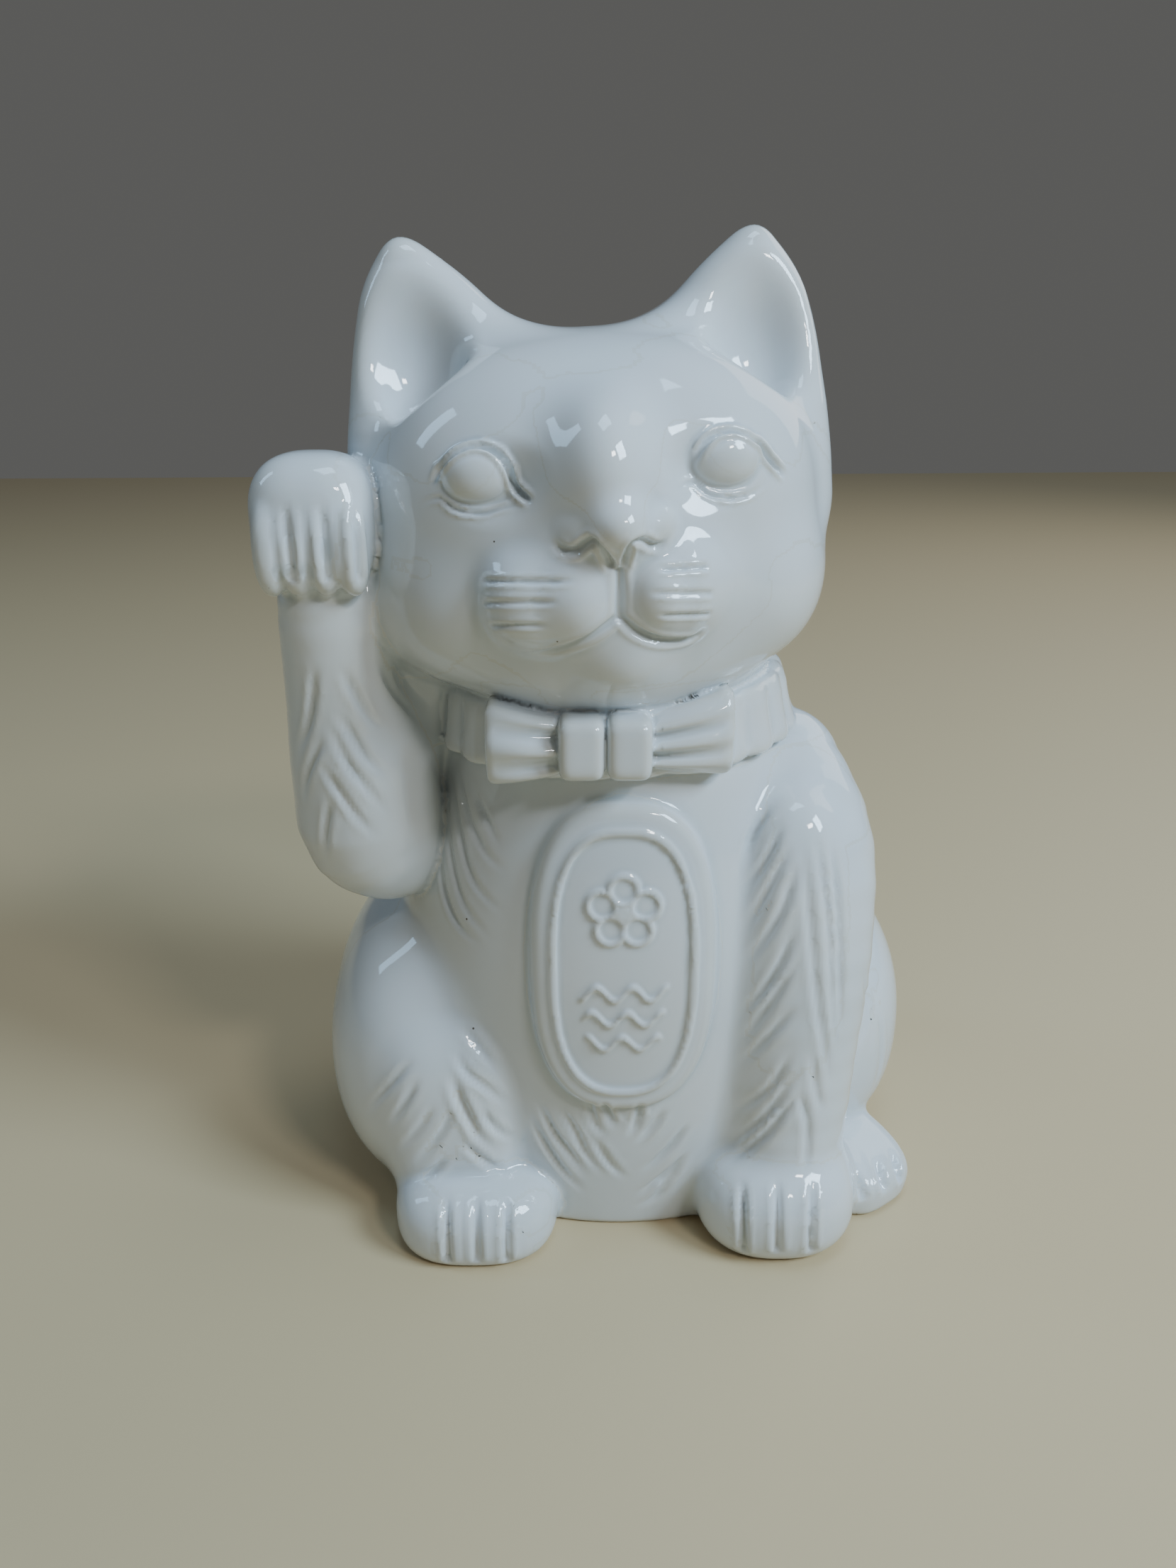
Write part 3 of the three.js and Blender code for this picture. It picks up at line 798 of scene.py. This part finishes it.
# %% Toes
for x in (-38, -31.5, -25):
    tool.mark([(x, 20), (x - 0.3, 9), (x - 0.4, -2)], 1.4, 0.95, sheet=-58, ends=(0.4, 0.05))
for x in (26, 33.5, 41):
    tool.mark([(x - 0.6, 24), (x, 12), (x + 0.9, -2)], 1.4, 0.95, sheet=-58, ends=(0.4, 0.05))
for x, z in ((56.5, 5), (61.5, 7.5), (65, 10)):
    tool.mark([(x - 1.2, z + 3), (x, z - 1), (x + 2, z - 7)], 1.2, 1.1, sheet=-35, ends=(0.4, 0.1))
for x in (-58.5, -52.3, -46.6):
    tool.mark([(x, 166), (x, 160), (x + 0.1, 151)], 1.3, 1.0, sheet=-58, ends=(0.35, 0.1))

# %% [markdown]
# ## The face
# Lids, nose, mouth and whiskers are drawn with finer tools. The upper lids are deep single arcs, the
# lower ones are faint. The mouth is one stroke down from the nose and one out to each side. `lip` sets
# how much clay is thrown up beside the line.

# %% Face
FACE = -58
LEFT_LID = [
    (-33.5, 167.5), (-31.4, 171.2), (-28.4, 173.7), (-25, 174.5),
    (-21.9, 173.3), (-20.2, 171), (-19.2, 168), (-16, 165),
]
LEFT_UNDER = [(-35.5, 165), (-32, 166), (-30, 164.4), (-25.4, 163.4), (-20.8, 164.4), (-17.5, 165)]
tool.mark(LEFT_LID, 1.2, 0.7, FACE, ends=(0.25, 0.1), lip=0.5)
tool.mark(LEFT_UNDER, 0.5, 0.5, FACE, lip=0.6)
RIGHT_UNDER = [(8, 167), (11, 168.4), (13.3, 166.6), (17, 165.7), (20.6, 166.2), (24.5, 168.8)]
RIGHT_LID = [(11, 170.5), (12, 173.6), (15, 176.4), (18.5, 176.6), (21.8, 174.6), (24, 172), (27, 169)]
tool.mark(RIGHT_LID, 1.2, 0.7, FACE, ends=(0.25, 0.15), lip=0.5)
tool.mark(RIGHT_UNDER, 0.5, 0.5, FACE, lip=0.6)
NOSE = [
    (-13, 159.3), (-11.4, 157.4), (-9, 156.9), (-7.6, 157.9),
    (-6.2, 158.7), (-4.9, 157.6), (-3.6, 155.8), (-2.1, 153.4),
]
NOSE_FAR = [(7.6, 159.8), (6, 158), (4.6, 157.7), (2.7, 158.6), (1, 158), (0, 156), (-0.8, 153.4)]
MOUTH = [(-1.2, 145.6), (-3.6, 143.6), (-6.5, 141.6), (-10.2, 140), (-15, 139), (-19, 139.2)]
MOUTH_FAR = [(-1.2, 145.4), (1.6, 142.8), (5, 141.3), (9, 140.9), (12.2, 141.6), (14.2, 143.6)]
tool.mark(NOSE, 1.1, 0.85, FACE, ends=(0.3, 0.08))
tool.mark(NOSE_FAR, 0.9, 0.8, FACE, ends=(0.35, 0.08))
tool.mark([(-1.3, 154), (-1.2, 150), (-1.2, 147), (-1.1, 144.2)], 1.2, 1.0, FACE, ends=(0.05, 0.05), lip=0.1)
tool.mark(MOUTH, 0.8, 0.9, FACE, ends=(0.05, 0.5))
tool.mark(MOUTH_FAR, 1.0, 0.9, FACE, ends=(0.05, 0.3))
for a, b in (((-25.5, 151.8), (-8, 151.5)), ((-25.5, 147.9), (-11.5, 148)), ((-24.5, 143.8), (-13.5, 143.8))):
    tool.mark([a, b], 0.5, 0.6, FACE, ends=(0.1, 0.3))
for a, b in (((5, 153.5), (14.5, 154)), ((3.5, 149.4), (15.6, 149.3)), ((5, 145.4), (15.2, 145.6))):
    tool.mark([a, b], 0.5, 0.6, FACE, ends=(0.3, 0.1))
tool.finish()
print("scored", round(time.time() - started), "s")


# %% [markdown]
# ## Thick and thin glaze, with painted shade in the hollows
# Molten glaze leaves edges and gathers in hollows. How much the skin bends at each vertex is measured
# here from its neighbours, smoothed, and stored as an attribute that the glaze material reads later.
# The material uses it for thin glaze on edges, and for pooled glaze in hollows and marks that it also
# darkens as painted shade.

# %% Where the glaze will pool and where shade is painted
def pooling_and_shade(o):
    """Half where the skin is even, more in hollows, where the glaze pools and shade is painted, less on
    edges, kept as an attribute of the skin.
    """
    p, n = coords(o), normals(o)
    edges = np.empty(len(o.data.edges) * 2, np.int32)
    o.data.edges.foreach_get("vertices", edges)
    a, b = edges.reshape(-1, 2).T
    count = np.bincount(a, minlength=len(p)) + np.bincount(b, minlength=len(p))
    slope = ((p[b] - p[a]) * n[a]).sum(1), ((p[a] - p[b]) * n[b]).sum(1)
    gap = np.linalg.norm(p[b] - p[a], axis=1) ** 2 + 1e-6
    bend = (np.bincount(a, slope[0] / gap, len(p)) + np.bincount(b, slope[1] / gap, len(p))) / count
    for _ in range(6):
        bend = 0.4 * bend + 0.6 * (np.bincount(a, bend[b], len(p)) + np.bincount(b, bend[a], len(p))) / count
    # High values mark hollows and marks: pooled glaze, which the glaze material also darkens as painted
    # shade.
    layer = o.data.attributes.new("glaze_pool_and_shade", "FLOAT", "POINT")
    layer.data.foreach_set("value", np.clip(0.5 + bend * 1.4, 0, 1).astype(np.float32))
    print("bend", np.round(np.percentile(bend, [1, 10, 50, 90, 99]), 3))


pooling_and_shade(cat)

# %% [markdown]
# ## Hollow and parts
# The casting is hollow: slip stands in the mould until a wall has grown and the rest is poured out. The
# hollow is cut here as one smooth inner shape. Then the cat is taken apart along its creases into the
# castings a potter would make and stick together with slip, so that each is its own piece. Cut faces get
# the raw clay material.

# %% Materials named first, so cut faces can carry them
glaze = bpy.data.materials.new("white_glaze")
clay_mat = bpy.data.materials.new("biscuit")
for m in (glaze, clay_mat):
    m.use_nodes = True


def coat_with(o, index):
    """Gives o both materials and paints every face with one of them: 0 glaze, 1 raw clay."""
    o.data.materials.clear()
    o.data.materials.append(glaze)
    o.data.materials.append(clay_mat)
    o.data.polygons.foreach_set("material_index", np.full(len(o.data.polygons), index, np.int32))


def wipe_foot(o, below=0.35):
    """The potter wipes the glaze off everything that would touch the kiln shelf."""
    for face in o.data.polygons:
        if max(o.data.vertices[v].co.z for v in face.vertices) < below * MM:
            face.material_index = 1


coat_with(cat, 0)
wipe_foot(cat)


def join_up(objects, size):
    """One even closed skin round a group of lumps."""
    pick(*objects)
    if len(objects) > 1:
        bpy.ops.object.join()
    o = bpy.context.object
    bpy.ops.object.transform_apply(location=True, rotation=True, scale=True)
    remesh(o, size)
    coat_with(o, 1)
    return o


def balls(*lumps):
    """Spheres, each (x, y, z, radius x, radius y, radius z)."""
    before = len(spheres)
    for x, y, z, a, b, c in lumps:
        add_sphere(np.array([x, y, z], float), np.array([a, b, c], float), np.eye(3))
    made = spheres[before:]
    del spheres[before:]
    return made


WALL = 5.5
spheres.clear()
neck_and_head = balls((-2, -10, 122, 24, 24, 30), (-5.5, -13, 158, 38, 35, 29))
hollow = join_up([torso_core(-WALL, RECESS + SLAB, 112)] + neck_and_head, 3)
cut(cat, hollow)
whole = cat.copy()
whole.data = cat.data.copy()
bpy.context.collection.objects.link(whole)
print("hollow", len(cat.data.vertices), "vertices", round(time.time() - started), "s")

# %% [markdown]
# A cutter for each casting is made of the same balls as the casting, a little larger, so that its edge
# falls into the crease round it. One helper keeps the inside of the cutter as a new piece and removes it
# from the cat, so the pieces share their cut faces exactly and never overlap.

# %% Take the castings apart
parts = {}


def take(name, cutter, *nodes):
    """Cuts the region of the cutter off the cat as a piece of its own."""
    pick(cat)
    bpy.ops.object.duplicate()
    piece = bpy.context.object
    piece.name = name
    cut(piece, cutter, "INTERSECT", keep=True)
    cut(cat, cutter)
    parts[name] = (piece, nodes)


def beads_of(stations, grow, count=14):
    stations = np.array(stations, float)
    steps = np.concatenate([[0], np.cumsum(np.linalg.norm(np.diff(stations[:, :3], axis=0), axis=1))])
    return [(*b[:3], *([b[3] + grow] * 3)) for b in flow(np.linspace(0, steps[-1], count), steps, stations)]


arm = balls(*beads_of(ARM, 1.2), (-60.5, -35.5, 159, 13, 15, 15.5), (-58, -34, 148, 12, 13, 10))
take("raised_arm", join_up(arm, 2), "raised_foreleg")
skull = [(-5.5, -13, 158, 50, 46, 38), (-30, -18, 144, 22.5, 34, 20), (20, -15, 147, 22.5, 34, 20)]
skull += [(-4.5, -33, 136, 28, 20, 16), (-4, -50, 150, 30, 16, 20)]
skull += [(-38, -13, 190, 24, 18, 32), (29, -12, 194, 24, 18, 32)]
take("head", join_up(balls(*skull), 2), "head_casting", "right_ear", "left_ear")

bow = block((-27.6, -62, 108), (22.5, -36, 130))
cut(bow, torso_core(4.9, 100, 134))
take("bow", join_up([bow], 1.2), "collar_bow")
band = block((-60, -60, 109.6), (60, 60, 125.6))
cut(band, torso_core(-1.2, 100, 134))
take("collar", join_up([band], 1.5), "collar_band")
oval_cutter = drum(*KOBAN, 1, -1, 1)
oval_cutter.data.transform(
    Matrix.Translation((0, -0.045, KOBAN[1] * MM))
    @ Matrix.Rotation(math.radians(90), 4, "X")
    @ Matrix.Diagonal((20.6, 36, 18, 1))
    @ Matrix.Translation((0, -KOBAN[1] * MM, 0))
)
cut(oval_cutter, torso_core(-0.8, 20, 120))
take("coin_tablet", join_up([oval_cutter], 1.2), "koban_tablet")
leg = balls((37, -34, 57, 15.8, 17.5, 50), (35.5, -42.5, 9, 19.5, 19.5, 16), (38, -26, 84, 17, 17, 26))
take("standing_arm", join_up(leg, 2), "standing_foreleg")
right = balls((-46, -1, 33, 26, 42, 37.5), (-38, -29, 27, 18.5, 20, 30), (-32, -42, 6, 19.5, 20, 14))
take("hind_leg_right", join_up(right, 2), "right_hind_leg")
left_leg = balls((48, 9, 30, 26, 39, 35), (54, -24, 6, 18, 25, 15))
take("hind_leg_left", join_up(left_leg, 2), "left_hind_leg")
take("curled_tail", join_up(balls(*beads_of(TAIL, 2.2)), 2), "tail")
cat.name = "torso"
parts["torso"] = (cat, ("torso_casting", "base_slab"))
for name, (piece, nodes) in parts.items():
    print(name, len(piece.data.polygons), "faces, slots", [m.name for m in piece.data.materials])
print("apart", round(time.time() - started), "s")

# %% [markdown]
# Where one skin is cut in two, each half would shade its edge on its own and the joint would show as a
# seam under gloss. The shading normals are therefore copied from the uncut skin. Each piece then hangs
# under the cat's body and hides the measured solids it stands for.

# %% Carry the skin's shading over to the parts
for piece, nodes in parts.values():
    piece.data.validate(clean_customdata=False)
    pick(piece)
    m = piece.modifiers.new("skin shading", "DATA_TRANSFER")
    m.object = whole
    m.use_loop_data = True
    m.data_types_loops = {"CUSTOM_NORMAL"}
    m.loop_mapping = "POLYINTERP_NEAREST"
    apply_all(piece)
    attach(piece, "cat")
    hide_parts(*nodes)
bpy.data.objects.remove(whole)
print("shaded", round(time.time() - started), "s")

# %% [markdown]
# ## The glaze
# A clear glossy glaze over a white body. It is a little bluer where it pools in the marks and hollows,
# and darker there as painted shade, warmer where it runs thin over edges, and it carries the odd iron
# speck and pinhole. Its surface is never quite flat, which bends the edges of every reflection.

# %% Glaze
def nodes_of(material):
    tree = material.node_tree
    return tree, tree.nodes["Principled BSDF"], lambda kind, **kw: new_node(tree, kind, **kw)


def new_node(tree, kind, **inputs):
    node = tree.nodes.new(kind)
    for key, value in inputs.items():
        node.inputs[key.replace("_", " ")].default_value = value
    return node


def ramp(tree, source, stops):
    node = tree.nodes.new("ShaderNodeValToRGB")
    while len(node.color_ramp.elements) < len(stops):
        node.color_ramp.elements.new(0.5)
    for element, (at, color) in zip(node.color_ramp.elements, stops):
        element.position, element.color = at, (*color, 1)
    tree.links.new(source, node.inputs["Fac"])
    return node


tree, shader, add = nodes_of(glaze)
link = tree.links.new
place = tree.nodes.new("ShaderNodeTexCoord")
cloud = add("ShaderNodeTexNoise", Scale=28, Detail=3)
link(place.outputs["Object"], cloud.inputs["Vector"])
body = ramp(tree, cloud.outputs["Fac"], [(0.3, (0.66, 0.71, 0.75)), (0.7, (0.71, 0.74, 0.76))])
# Painted shade: the attribute darkens the glaze in hollows and marks, on top of the bluer pooled glaze.
glaze_pool_and_shade = tree.nodes.new("ShaderNodeAttribute")
glaze_pool_and_shade.attribute_name = "glaze_pool_and_shade"
# The thick colour is pooled glaze together with painted shade in creases; the thin colour is glaze thinning
# over edges.
THIN, EVEN, THICK_AND_SHADED = (0.94, 0.91, 0.85), (1, 1, 1), (0.80, 0.83, 0.84)
pool_and_shade_color = ramp(tree, glaze_pool_and_shade.outputs["Fac"], [(0.35, THIN), (0.5, EVEN), (0.68, THICK_AND_SHADED)])
tint = tree.nodes.new("ShaderNodeMix")
tint.data_type, tint.blend_type = "RGBA", "MULTIPLY"
tint.inputs["Factor"].default_value = 0.8
link(body.outputs["Color"], tint.inputs["A"])
link(pool_and_shade_color.outputs["Color"], tint.inputs["B"])
speck = add("ShaderNodeTexVoronoi", Scale=95)
link(place.outputs["Object"], speck.inputs["Vector"])
size = add("ShaderNodeSeparateColor")
link(speck.outputs["Color"], size.inputs["Color"])
rare = tree.nodes.new("ShaderNodeMath")
rare.operation = "MULTIPLY_ADD"
link(size.outputs["Red"], rare.inputs[0])
rare.inputs[1].default_value, rare.inputs[2].default_value = 0.085, -0.050
near = tree.nodes.new("ShaderNodeMath")
near.operation = "LESS_THAN"
link(speck.outputs["Distance"], near.inputs[0])
link(rare.outputs[0], near.inputs[1])
dots = tree.nodes.new("ShaderNodeMix")
dots.data_type = "RGBA"
link(near.outputs[0], dots.inputs["Factor"])
link(tint.outputs["Result"], dots.inputs["A"])
dots.inputs["B"].default_value = (0.14, 0.12, 0.10, 1)
link(dots.outputs["Result"], shader.inputs["Base Color"])
shader.inputs["Roughness"].default_value = 0.06
shader.inputs["IOR"].default_value = 1.52
shader.inputs["Coat Weight"].default_value = 0.25
shader.inputs["Coat Roughness"].default_value = 0.03
wave = add("ShaderNodeTexNoise", Scale=90, Detail=1.5)
link(place.outputs["Object"], wave.inputs["Vector"])
bump = add("ShaderNodeBump", Strength=0.22, Distance=0.0004)
link(wave.outputs["Fac"], bump.inputs["Height"])
link(bump.outputs["Normal"], shader.inputs["Normal"])

# %% [markdown]
# ## Biscuit
# Pottery is not glazed where it stands in the kiln, or it would stick to the shelf. The foot rim, the
# inside and the cut faces show the fired clay: chalky, a little creamy, with a fine grain. It has no coat
# and scatters light evenly.

# %% Raw clay for the foot, the inside and the cut faces
tree, shader, add = nodes_of(clay_mat)
link = tree.links.new
place = tree.nodes.new("ShaderNodeTexCoord")
grain = add("ShaderNodeTexNoise", Scale=900, Detail=6)
link(place.outputs["Object"], grain.inputs["Vector"])
patch = add("ShaderNodeTexNoise", Scale=45, Detail=4)
link(place.outputs["Object"], patch.inputs["Vector"])
chalk = ramp(tree, patch.outputs["Fac"], [(0.3, (0.62, 0.58, 0.51)), (0.7, (0.74, 0.71, 0.65))])
link(chalk.outputs["Color"], shader.inputs["Base Color"])
shader.inputs["Roughness"].default_value = 0.82
bump = add("ShaderNodeBump", Strength=0.5, Distance=0.0003)
link(grain.outputs["Fac"], bump.inputs["Height"])
link(bump.outputs["Normal"], shader.inputs["Normal"])

# %% [markdown]
# ## The stopper
# A moulded rubber bung: a thin flange that lies against the base, a plug with two sealing beads, a dished
# underside with a ring to get a fingernail behind, and a hollow top so that it can be squeezed into the
# hole.

# %% Stopper
def turned(name, profile, middle, segments=96):
    """A turned piece: a ring is drawn out through (radius, height) points and closed on the axis."""
    deselect()
    r, z = profile[0]
    bpy.ops.mesh.primitive_circle_add(
        vertices=segments, radius=r * MM, location=(0, 0, z * MM), fill_type="NOTHING"
    )
    o = bpy.context.object
    bpy.ops.object.transform_apply(location=True, rotation=False, scale=False)
    bpy.ops.object.mode_set(mode="EDIT")
    bpy.ops.mesh.select_all(action="SELECT")
    bpy.ops.mesh.extrude_region_move()
    bpy.ops.mesh.merge(type="CENTER")
    bpy.ops.object.mode_set(mode="OBJECT")
    ring = [v.index for v in o.data.vertices if v.co.xy.length > 0.5 * r * MM]
    for v in o.data.vertices:
        v.select = v.index in ring
    bpy.ops.object.mode_set(mode="EDIT")
    for (r0, z0), (r1, z1) in zip(profile, profile[1:]):
        bpy.ops.mesh.extrude_region_move(TRANSFORM_OT_translate={"value": (0, 0, (z1 - z0) * MM)})
        bpy.ops.transform.resize(value=(r1 / r0, r1 / r0, 1), center_override=(0, 0, z1 * MM))
    bpy.ops.mesh.extrude_region_move()
    bpy.ops.mesh.merge(type="CENTER")
    bpy.ops.mesh.select_all(action="SELECT")
    bpy.ops.mesh.remove_doubles(threshold=1e-6)
    bpy.ops.mesh.normals_make_consistent(inside=False)
    bpy.ops.object.mode_set(mode="OBJECT")
    o.name = name
    o.data.transform(Matrix.Translation((middle[0] * MM, middle[1] * MM, 0)))
    return o


low, high = stop_low[2], stop_high[2]
lip, plug = 15.0, 12.2
bung = turned(
    "rubber_stopper",
    [
        (2.5, low + 1.2), (7.8, low + 1.2), (8.3, low + 0.9), (8.8, low + 0.2), (9.6, low), (10.4, low + 0.2),
        (10.9, low + 0.8), (13.2, low + 0.55), (14.5, low + 0.3), (14.95, low + 0.7), (lip, low + 1.2),
        (14.8, low + 1.8), (14.0, low + 2.2), (12.4, low + 2.4), (11.9, low + 2.9), (11.8, low + 4.0),
        (12.1, low + 4.6), (plug, low + 5.1), (12.1, low + 5.6), (11.8, low + 6.1), (11.8, low + 7.6),
        (12.1, low + 8.2), (plug, low + 8.7), (12.0, low + 9.3), (11.5, low + 10.4), (11.0, high - 0.3),
        (10.4, high), (9.6, high - 0.3), (9.2, high - 1.0), (9.0, low + 4.4), (8.6, low + 3.8),
        (3, low + 3.8),
    ],
    HOLE,
)
bung.modifiers.new("rounder", "SUBSURF").levels = 1
apply_all(bung)
bpy.ops.object.shade_smooth()
rubber = bpy.data.materials.new("stopper_rubber")
rubber.use_nodes = True
tree, shader, add = nodes_of(rubber)
link = tree.links.new
place = tree.nodes.new("ShaderNodeTexCoord")
dust = add("ShaderNodeTexNoise", Scale=260, Detail=5)
link(place.outputs["Object"], dust.inputs["Vector"])
tone = ramp(tree, dust.outputs["Fac"], [(0.35, (0.55, 0.54, 0.50)), (0.7, (0.66, 0.65, 0.61))])
link(tone.outputs["Color"], shader.inputs["Base Color"])
shader.inputs["Roughness"].default_value = 0.55
shader.inputs["Subsurface Weight"].default_value = 0.15
shader.inputs["Subsurface Radius"].default_value = (0.002, 0.0018, 0.0015)
bump = add("ShaderNodeBump", Strength=0.25, Distance=0.0002)
link(dust.outputs["Fac"], bump.inputs["Height"])
link(bump.outputs["Normal"], shader.inputs["Normal"])
bung.data.materials.append(rubber)
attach(bung, "stopper")
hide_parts("stopper")

# %% [markdown]
# ## The setting
# A plain pale floor and five soft lights. The cool large one on the right stands for a window and does
# most of the work, a weaker one on the left puts blue streaks on that side, a third above fills the
# forehead, a small bright one gives the points of light on cheek and paw, and a faint one behind keeps
# the back from going black.

# %% Floor, light and camera
deselect()
bpy.ops.mesh.primitive_plane_add(size=3, location=(0, 0, 0))
floor = bpy.context.object
floor.name = "floor"
paper = bpy.data.materials.new("pale_floor")
paper.use_nodes = True
paper.node_tree.nodes["Principled BSDF"].inputs["Base Color"].default_value = (0.60, 0.47, 0.28, 1)
floor.data.materials.append(paper)

world = bpy.data.worlds.new("room")
bpy.context.scene.world = world
world.use_nodes = True
world.node_tree.nodes["Background"].inputs["Color"].default_value = (0.60, 0.60, 0.58, 1)
world.node_tree.nodes["Background"].inputs["Strength"].default_value = 0.18


def softbox(name, at, wide, tall, power, color, towards=(0, 0, 0.1)):
    deselect()
    bpy.ops.object.light_add(type="AREA", location=at)
    o = bpy.context.object
    o.name = name
    o.data.shape = "RECTANGLE"
    o.data.size, o.data.size_y = wide, tall
    o.data.energy = power
    o.data.color = color
    o.rotation_euler = (Vector(towards) - Vector(at)).to_track_quat("-Z", "Y").to_euler()
    return o


softbox("window_right", (0.9, -0.5, 0.9), 0.42, 0.42, 17, (0.58, 0.80, 1.0))
softbox("window_left", (-1.1, 0.1, 1.0), 0.22, 0.6, 2.2, (0.42, 0.70, 1.0))
softbox("window_top", (0.1, -0.1, 1.3), 0.5, 0.35, 3.6, (0.50, 0.75, 1.0))
softbox("lamp_right", (0.42, -0.62, 0.72), 0.16, 0.09, 2.2, (0.96, 0.98, 1.0))
softbox("fill_back", (0.7, 0.7, 0.7), 0.7, 0.7, 2, (1.0, 0.97, 0.95))

deselect()
LOOKS_DOWN, ROLL = 20.9, -0.33  # degrees
bpy.ops.object.camera_add(
    location=(-0.007, -0.263, 0.192), rotation=(math.radians(90 - LOOKS_DOWN), 0, 0)
)
camera = bpy.context.object
camera.data.lens = 27.05
camera.data.clip_start = 0.01
camera.rotation_euler.rotate_axis("Z", math.radians(ROLL))
bpy.context.scene.camera = camera

print("done in", round(time.time() - started), "s")
